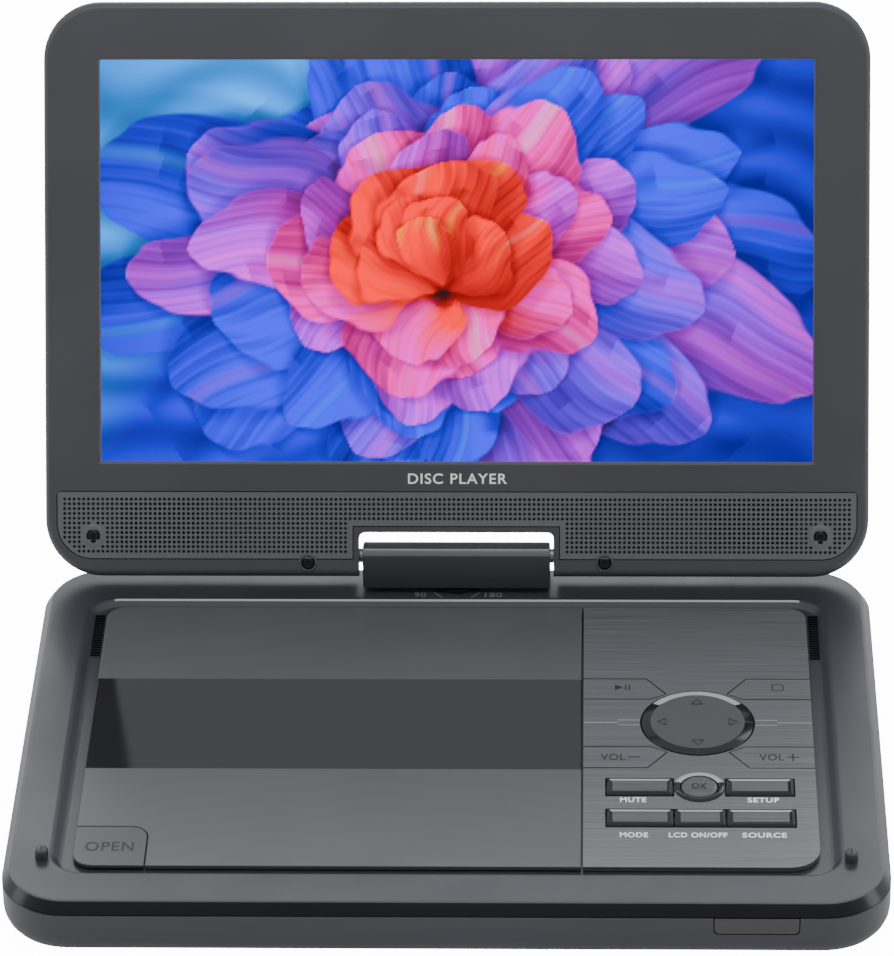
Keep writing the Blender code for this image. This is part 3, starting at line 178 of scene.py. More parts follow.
def rounded_ring(left, right, front, back, corner, steps=14):
    """Outline of a rectangle with quarter-circle corners, anticlockwise: centre plus radius times
    (cos, sin) of an angle that runs through each quarter in turn. `corner` is one radius or four,
    from the back right corner on."""
    radii = np.broadcast_to(np.asarray(corner, dtype=float), (4,))
    angles = np.radians(np.linspace(0.0, 90.0, steps + 1)[None, :] + 90.0 * np.arange(4)[:, None])
    centres_x = np.array([right, left, left, right]) + np.array([-1, 1, 1, -1]) * radii
    centres_y = np.array([back, back, front, front]) + np.array([-1, -1, 1, 1]) * radii
    x = centres_x[:, None] + radii[:, None] * np.cos(angles)
    y = centres_y[:, None] + radii[:, None] * np.sin(angles)
    return np.stack([x.ravel(), y.ravel()], axis=1)


def at_height(outline, height):
    """An outline in X and Y lifted to one height."""
    return np.column_stack([outline, np.full(len(outline), height)])


def piece(name, points, faces, material, body, slot, sharp=32.0):
    """A mesh object at the origin from points in millimetres, with its material and body. `slot` is not used.
    """
    mesh = bpy.data.meshes.new(name)
    mesh.from_pydata((np.asarray(points) * MM).tolist(), [], faces)
    mesh.validate()
    mesh.materials.append(material)
    mesh.shade_smooth()
    mesh.set_sharp_from_angle(angle=math.radians(sharp))
    obj = bpy.data.objects.new(name, mesh)
    bpy.context.scene.collection.objects.link(obj)
    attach(obj, body)
    return obj


def carried(rings, end="caps"):
    """A profile carried round an outline: ring i joins ring i + 1 by quads. The ends are capped, or
    the last ring joins the first ("loop"), or they stay open. Returns points and faces."""
    grid = np.stack(rings)
    rows, count = grid.shape[:2]
    last = rows if end == "loop" else rows - 1
    i, j = np.meshgrid(np.arange(last), np.arange(count), indexing="ij")
    below, above = (i % rows) * count, ((i + 1) % rows) * count
    step = (j + 1) % count
    quads = np.stack([below + j, below + step, above + step, above + j], axis=-1)
    quads = quads.reshape(-1, 4).tolist()
    if end == "caps":
        quads.append(list(range(count))[::-1])
        quads.append([(rows - 1) * count + k for k in range(count)])
    return grid.reshape(-1, 3), quads


def base_ring(inset, height):
    """The base's plan, pulled in all round by `inset`, at one height."""
    middle = BASE_MIDDLE_Y
    return at_height(rounded_ring(-HALF_WIDTH + inset, HALF_WIDTH - inset, middle - HALF_DEPTH + inset,
                                  middle + HALF_DEPTH - inset, BASE_CORNER - inset), height)


def quarter(radius, steps=6):
    """Inset and rise of a quarter round, from flat to upright."""
    angles = np.radians(np.linspace(0.0, 90.0, steps + 1))
    return [(radius * (1 - math.sin(a)), radius * (1 - math.cos(a))) for a in angles]


def node_group(name, inputs, outputs):
    """A shader node group with named sockets. Returns it, its nodes, its links, its input and its output."""
    tree = bpy.data.node_groups.new(name, "ShaderNodeTree")
    for label, kind, value in inputs:
        socket = tree.interface.new_socket(name=label, in_out="INPUT", socket_type=kind)
        socket.default_value = value
    for label, kind in outputs:
        tree.interface.new_socket(name=label, in_out="OUTPUT", socket_type=kind)
    inside, outside = tree.nodes.new("NodeGroupInput"), tree.nodes.new("NodeGroupOutput")
    return tree, tree.nodes, tree.links, inside, outside


def noise(nodes, links, vector, scale, detail=3.0):
    """A noise texture read at `vector`."""
    texture = nodes.new("ShaderNodeTexNoise")
    texture.inputs["Scale"].default_value = scale
    texture.inputs["Detail"].default_value = detail
    links.new(vector, texture.inputs["Vector"])
    return texture.outputs["Fac"]


def scaled(nodes, links, value, from_low, from_high, to_low, to_high):
    """A value mapped from one range to another."""
    mapping = nodes.new("ShaderNodeMapRange")
    limits = {"From Min": from_low, "From Max": from_high, "To Min": to_low, "To Max": to_high}
    for label, number in limits.items():
        mapping.inputs[label].default_value = number
    links.new(value, mapping.inputs["Value"])
    return mapping.outputs["Result"]


def worked_out(nodes, links, operation, *values):
    """A Math node. Each value is a number or another node's output."""
    node = nodes.new("ShaderNodeMath")
    node.operation = operation
    for socket, value in zip(node.inputs, values):
        if isinstance(value, float):
            socket.default_value = value
        else:
            links.new(value, socket)
    return node.outputs["Value"]


def dimmed(nodes, links, color, factor):
    """A colour times a factor."""
    node = nodes.new("ShaderNodeVectorMath")
    node.operation = "SCALE"
    links.new(color, node.inputs[0])
    links.new(factor, node.inputs["Scale"])
    return node.outputs["Vector"]


def make_moulded_group():
    """Spark-eroded plastic: a fine grain for the bump, a slow drift of tone and a slower drift of gloss."""
    tree, nodes, links, inside, outside = node_group(
        "moulded_plastic", [("Color", "NodeSocketColor", (0.05, 0.05, 0.06, 1.0)),
                            ("Roughness", "NodeSocketFloat", 0.4), ("Grain Scale", "NodeSocketFloat", 2600.0),
                            ("Haze", "NodeSocketFloat", 0.05)],
        [("Color", "NodeSocketColor"), ("Roughness", "NodeSocketFloat"), ("Height", "NodeSocketFloat")])
    coordinates = nodes.new("ShaderNodeTexCoord").outputs["Object"]
    grain = nodes.new("ShaderNodeTexNoise")
    grain.inputs["Detail"].default_value = 2.0
    links.new(coordinates, grain.inputs["Vector"])
    links.new(inside.outputs["Grain Scale"], grain.inputs["Scale"])
    drift = noise(nodes, links, coordinates, 14.0, 2.0)
    tone = scaled(nodes, links, drift, 0.3, 0.7, 0.93, 1.07)
    smear = scaled(nodes, links, noise(nodes, links, coordinates, 38.0, 5.0), 0.3, 0.7, -1.0, 1.0)
    gloss = worked_out(nodes, links, "MULTIPLY_ADD", smear, inside.outputs["Haze"],
                       inside.outputs["Roughness"])
    links.new(dimmed(nodes, links, inside.outputs["Color"], tone), outside.inputs["Color"])
    links.new(gloss, outside.inputs["Roughness"])
    links.new(grain.outputs["Fac"], outside.inputs["Height"])
    return tree


MOULDED = make_moulded_group()


def finished(name, group, inputs, strength, distance):
    """A material whose tone, gloss and bump come from a finish group, and its Principled shader."""
    material, nodes, links, shader = node_material(name)
    finish = nodes.new("ShaderNodeGroup")
    finish.node_tree = group
    for label, value in inputs.items():
        finish.inputs[label].default_value = value
    bump = nodes.new("ShaderNodeBump")
    bump.inputs["Strength"].default_value = strength
    bump.inputs["Distance"].default_value = distance
    links.new(finish.outputs["Height"], bump.inputs["Height"])
    links.new(finish.outputs["Color"], shader.inputs["Base Color"])
    links.new(finish.outputs["Roughness"], shader.inputs["Roughness"])
    links.new(bump.outputs["Normal"], shader.inputs["Normal"])
    return material, shader


def moulded(name, color, roughness, grain=0.02, haze=0.04, coat=0.0, metallic=0.0, specular=0.5):
    """A moulded or plain finish with its own tone, gloss and depth of grain."""
    inputs = {"Color": (*color, 1.0), "Roughness": roughness, "Haze": haze}
    material, shader = finished(name, MOULDED, inputs, grain, 0.0002)
    shader.inputs["Coat Weight"].default_value = coat
    shader.inputs["Coat Roughness"].default_value = 0.06
    shader.inputs["Metallic"].default_value = metallic
    shader.inputs["Specular IOR Level"].default_value = specular
    return material


def paint(obj, material, chosen):
    """Give a material of their own to the faces whose centre, in millimetres, and normal are `chosen`."""
    obj.data.materials.append(material)
    for polygon in obj.data.polygons:
        if chosen(*(value / MM for value in polygon.center), polygon.normal):
            polygon.material_index = len(obj.data.materials) - 1


def cutter(name, points, faces, target):
    """A hidden solid taken out of a piece by an exact Boolean."""
    mesh = bpy.data.meshes.new(name)
    mesh.from_pydata((np.asarray(points) * MM).tolist(), [], faces)
    tool = bpy.data.objects.new(name, mesh)
    bpy.context.scene.collection.objects.link(tool)
    bpy.context.view_layer.update()
    modifier = target.modifiers.new(name, "BOOLEAN")
    modifier.operation = "DIFFERENCE"
    modifier.solver = "EXACT"
    modifier.object = tool
    evaluated = target.evaluated_get(bpy.context.evaluated_depsgraph_get())
    mesh_after = bpy.data.meshes.new_from_object(evaluated)
    target.modifiers.remove(modifier)
    target.data = mesh_after
    mesh_after.set_sharp_from_angle(angle=math.radians(32.0))
    bpy.data.objects.remove(tool)


def block(left, right, front, rear, low, high):
    """Points and faces of a plain block."""
    outline = np.array([(left, front), (right, front), (right, rear), (left, rear)], dtype=float)
    return carried([at_height(outline, low), at_height(outline, high)])


def node_block(node, grow):
    """A block round a CAD node's box, grown by `grow` in Y and Z and run out through the side wall."""
    low, high = node_span(node)
    return block(PORT_IN, PORT_OUT, low[1] - grow, high[1] + grow, low[2] - grow, high[2] + grow)


def window_prism(grow, front, rear, top):
    """The infrared window's outline in X and Z, with round lower corners, run from rear to front."""
    outline = rounded_ring(WINDOW_LOW[0] - grow, WINDOW_HIGH[0] + grow, WINDOW_LOW[2] - grow, top,
                           (0.2, 0.2, 1.5, 1.5), 6)
    return carried([np.column_stack([outline[:, 0], np.full(len(outline), y), outline[:, 1]])
                    for y in (rear, front)])


# The thin bright line on the rear edges of the keys, the pad and the tray is a painted highlight, a paler
# copy of the black plastic.
satin_black = moulded("satin_black_abs", (0.033, 0.033, 0.044), 0.34)
polished_black = moulded("polished_black_abs", (0.009, 0.009, 0.012), 0.2, 0.0, 0.02)
painted_highlight = moulded("painted_highlight", (0.42, 0.42, 0.44), 0.3, 0.0, 0.02)
lower_rings = [base_ring(BOTTOM_ROUND + 0.4, SHELL_BOTTOM)]
lower_rings += [base_ring(inset, SHELL_BOTTOM + rise) for inset, rise in quarter(BOTTOM_ROUND)]
lower_rings += [base_ring(inset, height) for inset, height in
                ((0.0, SPLIT_LOW - 0.3), (0.3, SPLIT_LOW), (WALL, SPLIT_LOW),
                 (WALL, SHELL_BOTTOM + BOTTOM_ROUND), (WALL + 1.5, SHELL_BOTTOM + WALL + 1.5),
                 (WALL + 5.0, SHELL_BOTTOM + WALL))]
lower_shell = piece("lower_shell", *carried(lower_rings), satin_black, "base", "satin_black_plastic")
for port in ("usb_port", "card_slot", "dc_jack", "headphone_jack"):
    cutter(f"{port}_opening", *node_block(port, 0.3), lower_shell)
switch_low, switch_high = node_span("power_switch")
SWITCH_TRAVEL = 3.2
cutter("switch_slot", *block(PORT_IN, PORT_OUT, switch_low[1] - 0.5, switch_high[1] + SWITCH_TRAVEL + 0.5,
                             switch_low[2] - 0.4, switch_high[2] + 0.4), lower_shell)
window_hole = window_prism(0.3, WINDOW_FACE - 3.0, WINDOW_FACE + 4.0, SPLIT_LOW + 2.0)
cutter("window_opening", *window_hole, lower_shell)
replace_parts(lower_shell, "base_lower_shell")

# ---------------------------------------------------------------------------------------------
# Upper shell: one moulding for the rim, the sunk tray, the disc well and its floor. Its outer edge
# is a polished chamfer, so the rim above it ends in a crisp line.
RIM_TOP = BASE_HIGH[2]
CHAMFER = 2.3
TRAY_HALF = 115.3
TRAY_FRONT = BASE_MIDDLE_Y - 74.5
TRAY_BACK = BASE_MIDDLE_Y + 71.5
TRAY_CORNER = 10.0
TRAY_FLOOR = 18.2
HUB_LOW, HUB_HIGH = node_span("turntable_hub")
HUB_MIDDLE = (HUB_LOW + HUB_HIGH) / 2
WELL_RADIUS = 61.6
WELL_FLOOR = 12.7
FLOOR_SHEET = 1.5
HUB_RECESS = 16.5
SLOT_HALF = 8.5
SLOT_REACH = 62.35
WINDOW_GAP = 1.0


def tray_ring(inset, height, front_inset):
    """The tray's opening, pulled in by `inset` at the sides and back and by `front_inset` in front."""
    return at_height(rounded_ring(-TRAY_HALF + inset, TRAY_HALF - inset, TRAY_FRONT + front_inset,
                                  TRAY_BACK - inset, TRAY_CORNER - inset), height)


def hub_ring(radius, height):
    """A circle about the spindle."""
    x, y = HUB_MIDDLE[:2]
    return at_height(rounded_ring(x - radius, x + radius, y - radius, y + radius, radius), height)


upper_rings = [base_ring(inset, height) for inset, height in
               ((WALL, SPLIT_HIGH), (0.25, SPLIT_HIGH), (0.0, SPLIT_HIGH + 0.2),
                (CHAMFER - 0.35, RIM_TOP - 0.55), (CHAMFER, RIM_TOP - 0.12), (CHAMFER + 0.6, RIM_TOP),
                (CHAMFER + 0.9, RIM_TOP))]
upper_rings += [tray_ring(inset, height, front_inset) for inset, height, front_inset in
                ((-1.2, RIM_TOP, -0.9), (-0.9, RIM_TOP, -0.6), (-0.2, RIM_TOP - 0.12, -0.15),
                 (0.4, RIM_TOP - 0.5, 0.05), (1.7, TRAY_FLOOR + 0.35, 0.2), (2.2, TRAY_FLOOR + 0.06, 0.3),
                 (3.0, TRAY_FLOOR, 0.6), (3.3, TRAY_FLOOR, 0.9))]
upper_rings += [hub_ring(radius, height) for radius, height in
                ((WELL_RADIUS + 0.7, TRAY_FLOOR), (WELL_RADIUS + 0.4, TRAY_FLOOR),
                 (WELL_RADIUS, TRAY_FLOOR - 0.4), (WELL_RADIUS, WELL_FLOOR + 1.2),
                 (WELL_RADIUS - 1.2, WELL_FLOOR), (HUB_RECESS + 1.0, WELL_FLOOR),
                 (HUB_RECESS, WELL_FLOOR - 0.5), (HUB_RECESS, WELL_FLOOR - FLOOR_SHEET),
                 (WELL_RADIUS + FLOOR_SHEET, WELL_FLOOR - FLOOR_SHEET),
                 (WELL_RADIUS + FLOOR_SHEET, SPLIT_HIGH))]
upper_shell = piece("upper_shell", *carried(upper_rings, "loop"), satin_black, "base", "satin_black_plastic")
cutter("sled_slot", *block(HUB_MIDDLE[0] - SLOT_HALF, HUB_MIDDLE[0] + SLOT_HALF, HUB_MIDDLE[1] - SLOT_REACH,
                           HUB_MIDDLE[1], WELL_FLOOR - 4.0, WELL_FLOOR + 1.0), upper_shell)
MAT_LOW, MAT_HIGH = node_span("key_mat")
cutter("key_window", *block(MAT_LOW[0] - WINDOW_GAP, MAT_HIGH[0] + WINDOW_GAP, MAT_LOW[1] - WINDOW_GAP,
                            MAT_HIGH[1] + WINDOW_GAP, SPLIT_HIGH - 1.0, TRAY_FLOOR + 0.5), upper_shell)


def on_slope(z, normal):
    """A sloping or rounded face between the split and the rim's top."""
    return 0.05 < normal.z < 0.97 and SPLIT_HIGH < z < RIM_TOP - 0.02


def on_outer_edge(x, y):
    """A place outside the tray, in the rim's outer band."""
    return max(abs(x) - HALF_WIDTH, abs(y - BASE_MIDDLE_Y) - HALF_DEPTH) > -CHAMFER - 12.0


def polished_or_shaded_face(x, y, z, normal):
    """The outer chamfer, which is polished, and the wall and floor strip of the tray's front, where the
    darker polished black is painted shade under the cover's front edge.
    """
    tray_front_shade = TRAY_FRONT - 0.1 < y < TRAY_FRONT + 1.2 and abs(x) < TRAY_HALF and z < RIM_TOP - 0.15
    return tray_front_shade or (on_slope(z, normal) and on_outer_edge(x, y))


def rear_lip_highlight(x, y, z, normal):
    """The rounded lip along the tray's rear edge, where the paler plastic is a painted highlight."""
    return (on_slope(z, normal) and not on_outer_edge(x, y) and z > RIM_TOP - 0.4
            and TRAY_BACK - 0.5 < y < TRAY_BACK + 0.6 and abs(x) < TRAY_HALF - 4.0)


# Polished black on the outer chamfer, and as painted shade on the tray's front wall and floor strip.
paint(upper_shell, polished_black, polished_or_shaded_face)
# The tray's rounded rear lip gets the painted highlight.
paint(upper_shell, painted_highlight, rear_lip_highlight)
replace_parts(upper_shell, "base_upper_shell")

# ---------------------------------------------------------------------------------------------
# Feet and bumpers: soft rubber. Each foot is a turned button with a rolled edge; the two bumpers
# are nubs pressed into the rim, which the closed lid rests on.
rubber = moulded("black_rubber", (0.02, 0.02, 0.022), 0.62, 0.3, 0.06)


def turned_rings(x, y, profile, steps=14):
    """A profile of (radius, height) points carried round a vertical axis."""
    return [at_height(rounded_ring(x - r, x + r, y - r, y + r, r, steps), height) for r, height in profile]


for number in range(1, 5):
    low, high = node_span(f"foot_{number}")
    x, y = (low[:2] + high[:2]) / 2
    radius = (high[0] - low[0]) / 2
    profile = [(radius - 2.0, 0.0), (radius - 0.8, 0.04), (radius - 0.25, 0.3), (radius, 0.8),
               (radius, high[2])]
    foot = piece(f"foot_{number}_pad", *carried(turned_rings(x, y, profile)), rubber, "base", "rubber")
    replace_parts(foot, f"foot_{number}")
bumper_rubber = moulded("grey_rubber", (0.045, 0.045, 0.05), 0.45, 0.1, 0.05)
for side in ("left", "right"):
    low, high = node_span(f"bumper_{side}")
    rings = [at_height(rounded_ring(low[0] + inset, high[0] - inset, low[1] + inset, high[1] - inset,
                                    1.5 - inset * 0.6, 5), height)
             for inset, height in ((0.0, low[2]), (0.0, high[2] - 1.2), (0.25, high[2] - 0.4),
                                   (0.8, high[2] - 0.05), (1.3, high[2]))]
    bumper = piece(f"bumper_{side}_nub", *carried(rings), bumper_rubber, "base", "rubber")
    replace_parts(bumper, f"bumper_{side}")

# ---------------------------------------------------------------------------------------------
# Disc cover and release button: flat ABS plates with a broken edge. A band across the cover is left
# polished in the mould, the rest has a fine satin grain. The button fills the cover's front corner.
COVER_LOW, COVER_HIGH = node_span("disc_cover")
OPEN_LOW, OPEN_HIGH = node_span("open_button")
BAND_FRONT = BASE_MIDDLE_Y - 21.5
BAND_BACK = BASE_MIDDLE_Y + 26.6
BAND_BLEND = 0.05
EDGE_BREAK = 0.22
BUTTON_GAP = 0.3


def plate(name, outline, low, high, material, body, slot, edge=EDGE_BREAK):
    """A flat plate: its outline at two heights, with the top edge broken by a bevel modifier."""
    points, faces = carried([at_height(outline, low), at_height(outline, high)])
    obj = piece(name, points, faces, material, body, slot)
    bevel = obj.modifiers.new("broken_edge", "BEVEL")
    bevel.width = edge * MM
    bevel.segments = 2
    bevel.limit_method = "ANGLE"
    bevel.angle_limit = math.radians(50.0)
    return obj


def arc(x, y, radius, start, stop, steps=8):
    """Points on an arc: centre plus radius times (cos, sin)."""
    angles = np.radians(np.linspace(start, stop, steps))
    return np.column_stack([x + radius * np.cos(angles), y + radius * np.sin(angles)])


def cover_outline():
    """The cover's plan: round back left corner, and a rounded bite for the release button."""
    left, front = COVER_LOW[:2]
    right_side, rear = COVER_HIGH[:2]
    bite_x, bite_y = OPEN_HIGH[:2] + BUTTON_GAP
    return np.vstack([[(right_side, front), (right_side, rear)],
                      arc(left + 6.0, rear - 6.0, 6.0, 90.0, 180.0),
                      [(left, bite_y)], arc(bite_x - 5.3, bite_y - 5.3, 5.3, 90.0, 0.0), [(bite_x, front)]])


def banded_plastic():
    """Satin plastic whose gloss and tone change in one polished band across Object Y."""
    material = moulded("satin_cover_abs", (0.080, 0.080, 0.087), 0.36)
    nodes, links = material.node_tree.nodes, material.node_tree.links
    shader = nodes["Principled BSDF"]
    split = nodes.new("ShaderNodeSeparateXYZ")
    links.new(nodes.new("ShaderNodeTexCoord").outputs["Object"], split.inputs["Vector"])
    near, far = (scaled(nodes, links, split.outputs["Y"], (edge - BAND_BLEND) * MM, (edge + BAND_BLEND) * MM,
                        *ends) for edge, ends in ((BAND_FRONT, (0.0, 1.0)), (BAND_BACK, (1.0, 0.0))))
    inside = worked_out(nodes, links, "MULTIPLY", near, far)
    for label, polished in (("Base Color", (0.012, 0.012, 0.014, 1.0)),
                            ("Roughness", (0.07, 0.07, 0.07, 1.0))):
        source = shader.inputs[label].links[0].from_socket
        mix = nodes.new("ShaderNodeMix")
        mix.data_type = "RGBA"
        links.new(inside, mix.inputs["Factor"])
        links.new(source, mix.inputs["A"])
        mix.inputs["B"].default_value = polished
        links.new(mix.outputs["Result"], shader.inputs[label])
    return material


cover_plastic = banded_plastic()
cover = plate("cover_plate", cover_outline(), COVER_LOW[2], COVER_HIGH[2], cover_plastic, "disc_cover",
              "satin_black_plastic")
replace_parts(cover, "disc_cover")
button_outline = rounded_ring(OPEN_LOW[0], OPEN_HIGH[0], OPEN_LOW[1], OPEN_HIGH[1], (5.0, 0.2, 6.0, 0.2), 8)
button = plate("release_button", button_outline, OPEN_LOW[2], OPEN_HIGH[2],
               moulded("satin_button_abs", (0.062, 0.062, 0.069), 0.36), "open_button", "satin_black_plastic")
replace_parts(button, "open_button")

# ---------------------------------------------------------------------------------------------
# Control plate: anodised aluminium, brushed from side to side, with the four flush keys cut from
# the same sheet. A thin bright inlay runs in from each side towards the pad.
def make_brushed_group():
    """Brushing along X: noise stretched a few hundred times along one axis, at two widths."""
    tree, nodes, links, inside, outside = node_group(
        "side_brushing", [("Color", "NodeSocketColor", (0.1, 0.1, 0.1, 1.0)),
                          ("Contrast", "NodeSocketFloat", 0.3), ("Roughness", "NodeSocketFloat", 0.3)],
        [("Color", "NodeSocketColor"), ("Roughness", "NodeSocketFloat"), ("Height", "NodeSocketFloat")])
    coordinates = nodes.new("ShaderNodeTexCoord").outputs["Object"]
    widths = []
    for along, across in ((14.0, 2600.0), (30.0, 6200.0)):
        mapping = nodes.new("ShaderNodeMapping")
        mapping.inputs["Scale"].default_value = (along, across, across)
        links.new(coordinates, mapping.inputs["Vector"])
        widths.append(noise(nodes, links, mapping.outputs["Vector"], 1.0, 2.0))
    both = worked_out(nodes, links, "ADD", *widths)
    streak = scaled(nodes, links, both, 0.7, 1.3, -1.0, 1.0)
    tone = worked_out(nodes, links, "MULTIPLY_ADD", streak, inside.outputs["Contrast"], 1.0)
    gloss = worked_out(nodes, links, "MULTIPLY_ADD", streak, 0.05, inside.outputs["Roughness"])
    links.new(dimmed(nodes, links, inside.outputs["Color"], tone), outside.inputs["Color"])
    links.new(gloss, outside.inputs["Roughness"])
    links.new(both, outside.inputs["Height"])
    return tree


BRUSHING = make_brushed_group()


def brushed(name, color, roughness, contrast, metallic=0.4):
    """A brushed finish with its own tone and strength of streak."""
    inputs = {"Color": (*color, 1.0), "Roughness": roughness, "Contrast": contrast}
    material, shader = finished(name, BRUSHING, inputs, 0.12, 0.0001)
    shader.inputs["Metallic"].default_value = metallic
    return material


def dress(nodes, material):
    """Give the CAD nodes' own meshes one of the materials made here."""
    for node in nodes:
        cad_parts[node].data.materials.clear()
        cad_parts[node].data.materials.append(material)


fascia_metal = brushed("brushed_dark_plate", (0.14, 0.14, 0.152), 0.36, 0.32)
dress(("control_fascia", "play_key", "stop_key", "volume_down_key", "volume_up_key"), fascia_metal)
PLATE_LOW, PLATE_HIGH = node_span("control_fascia")
PLATE_TOP = PLATE_HIGH[2]

# ---------------------------------------------------------------------------------------------
# Keys: five bar caps with a brushed dark face inside a glossy bevel, and a round one that sits in a
# glossy raised collar of the plate. The rear side of each bevel carries the bright line, a painted highlight.
KEY_CORNER = 1.2
KEY_STEM = 1.8
KEY_STEM_INSET = 2.6
COLLAR = 7.7
gloss_black = moulded("gloss_black_key", (0.012, 0.012, 0.014), 0.1, 0.0, 0.02, specular=0.3)
key_metal = brushed("brushed_key_face", (0.105, 0.105, 0.113), 0.38, 0.32)


def bar_key(node):
    """A bar cap: stem, cap wall, rolled shoulder, a bevel 0.7 mm wide, a rim whose rear part is a painted
    highlight, and a flat top.
    """
    low, high = node_span(node)
    top = high[2]
    rings = [at_height(rounded_ring(low[0] + inset, high[0] - inset, low[1] + inset, high[1] - inset,
                                    max(KEY_CORNER - inset, 0.25), 5), height)
             for inset, height in ((KEY_STEM_INSET, low[2]), (KEY_STEM_INSET, low[2] + KEY_STEM),
                                   (0.0, low[2] + KEY_STEM + 0.15), (0.0, PLATE_TOP), (0.1, PLATE_TOP + 0.12),
                                   (0.8, top - 0.08), (0.95, top - 0.02), (1.75, top), (2.1, top))]
    cap = piece(f"{node}_cap", *carried(rings), gloss_black, node, "gloss_key_plastic", 18.0)
    paint(cap, key_metal, lambda x, y, z, normal: z > top - 0.005)
    # The rear part of the rim gets the painted highlight.
    paint(cap, painted_highlight, lambda x, y, z, normal: top - 0.06 < z <= top - 0.005 and y > high[1] - 1.9)
    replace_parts(cap, node)


for node in ("mute_key", "setup_key", "mode_key", "screen_key", "source_key"):
    bar_key(node)
OK_LOW, OK_HIGH = node_span("ok_key")
OK_X, OK_Y = (OK_LOW[:2] + OK_HIGH[:2]) / 2
OK_RADIUS = (OK_HIGH[0] - OK_LOW[0]) / 2
ok_profile = [(OK_RADIUS - 1.6, OK_LOW[2]), (OK_RADIUS - 1.6, OK_LOW[2] + KEY_STEM),
              (OK_RADIUS, OK_LOW[2] + KEY_STEM + 0.15), (OK_RADIUS, PLATE_TOP + 0.1),
              (OK_RADIUS - 0.15, PLATE_TOP + 0.3), (OK_RADIUS - 0.9, OK_HIGH[2]),
              (OK_RADIUS - 1.1, OK_HIGH[2]), (0.4, OK_HIGH[2] - 0.08)]
ok_cap = piece("ok_key_cap", *carried(turned_rings(OK_X, OK_Y, ok_profile)), key_metal, "ok_key",
               "gloss_key_plastic", 24.0)
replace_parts(ok_cap, "ok_key")
collar_profile = [(OK_RADIUS + 0.35, PLATE_TOP - 0.6), (OK_RADIUS + 0.35, PLATE_TOP + 0.25),
                  (OK_RADIUS + 0.6, PLATE_TOP + 0.4), (COLLAR - 1.1, PLATE_TOP + 0.4),
                  (COLLAR - 0.1, PLATE_TOP + 0.1), (COLLAR, PLATE_TOP + 0.02)]
collar = piece("ok_key_collar", *carried(turned_rings(OK_X, OK_Y, collar_profile), "open"), gloss_black,
               "base", "gloss_key_plastic", 24.0)
# The rear part of the collar gets the painted highlight.
paint(collar, painted_highlight, lambda x, y, z, normal: y > OK_Y + 2.2 and z > PLATE_TOP + 0.05)

# ---------------------------------------------------------------------------------------------
# Direction pad: one turned disc, a glossy cone round a dished satin face. The rear part of the cone
# carries the bright line, a painted highlight.
PAD_LOW, PAD_HIGH = node_span("direction_pad")
PAD_X, PAD_Y = (PAD_LOW[:2] + PAD_HIGH[:2]) / 2
PAD_RADIUS = (PAD_HIGH[0] - PAD_LOW[0]) / 2
PAD_FACE = PAD_RADIUS - 2.8
PAD_STEM = 3.0
pad_profile = [(PAD_STEM, PAD_LOW[2]), (PAD_STEM, PAD_LOW[2] + 1.9), (PAD_RADIUS, PAD_LOW[2] + 2.1),
               (PAD_RADIUS, PLATE_TOP - 0.1), (PAD_RADIUS - 0.15, PLATE_TOP + 0.1),
               (PAD_FACE + 0.25, PAD_HIGH[2] - 0.03), (PAD_FACE, PAD_HIGH[2]),
               (PAD_FACE - 0.3, PAD_HIGH[2] - 0.05),
               (PAD_FACE * 0.6, PAD_HIGH[2] - 0.18), (0.5, PAD_HIGH[2] - 0.22)]
pad = piece("pad_disc", *carried(turned_rings(PAD_X, PAD_Y, pad_profile, 24)), gloss_black, "direction_pad",
            "brushed_fascia", 24.0)


def in_pad_face(x, y):
    """A place within the pad's dished face."""
    return math.hypot(x - PAD_X, y - PAD_Y) < PAD_FACE - 0.05


paint(pad, moulded("satin_pad_abs", (0.062, 0.062, 0.068), 0.34),
      lambda x, y, z, normal: z >= PLATE_TOP and in_pad_face(x, y))
# The rear part of the pad's cone gets the painted highlight.
paint(pad, painted_highlight,
      lambda x, y, z, normal: z >= PLATE_TOP and not in_pad_face(x, y) and y > PAD_Y + PAD_RADIUS * 0.55)
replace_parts(pad, "direction_pad")

# ---------------------------------------------------------------------------------------------
# Lettering and marks: plain generic words and symbols, pad-printed in white below the keys and in
# dark ink on the plate, the pad and the button. They lie a hair above the surface.
PRINT_RISE = 0.03
LABEL_HEIGHT = 2.5
VOLUME_Y = BASE_MIDDLE_Y - 14.9
PLAY_Y = BASE_MIDDLE_Y + 22.4
INLAY_Y = BASE_MIDDLE_Y + 3.4
INLAY_SPREAD = 1.3
print_white = moulded("white_print", (0.97, 0.97, 0.97), 0.7, 0.0, 0.0)
mark_dark = moulded("sunk_mark", (0.012, 0.012, 0.014), 0.5, 0.0, 0.0)
mark_faint = moulded("faint_mark", (0.03, 0.03, 0.033), 0.4, 0.0, 0.0)
mark_grey = moulded("soft_mark", (0.16, 0.16, 0.175), 0.45, 0.0, 0.0)


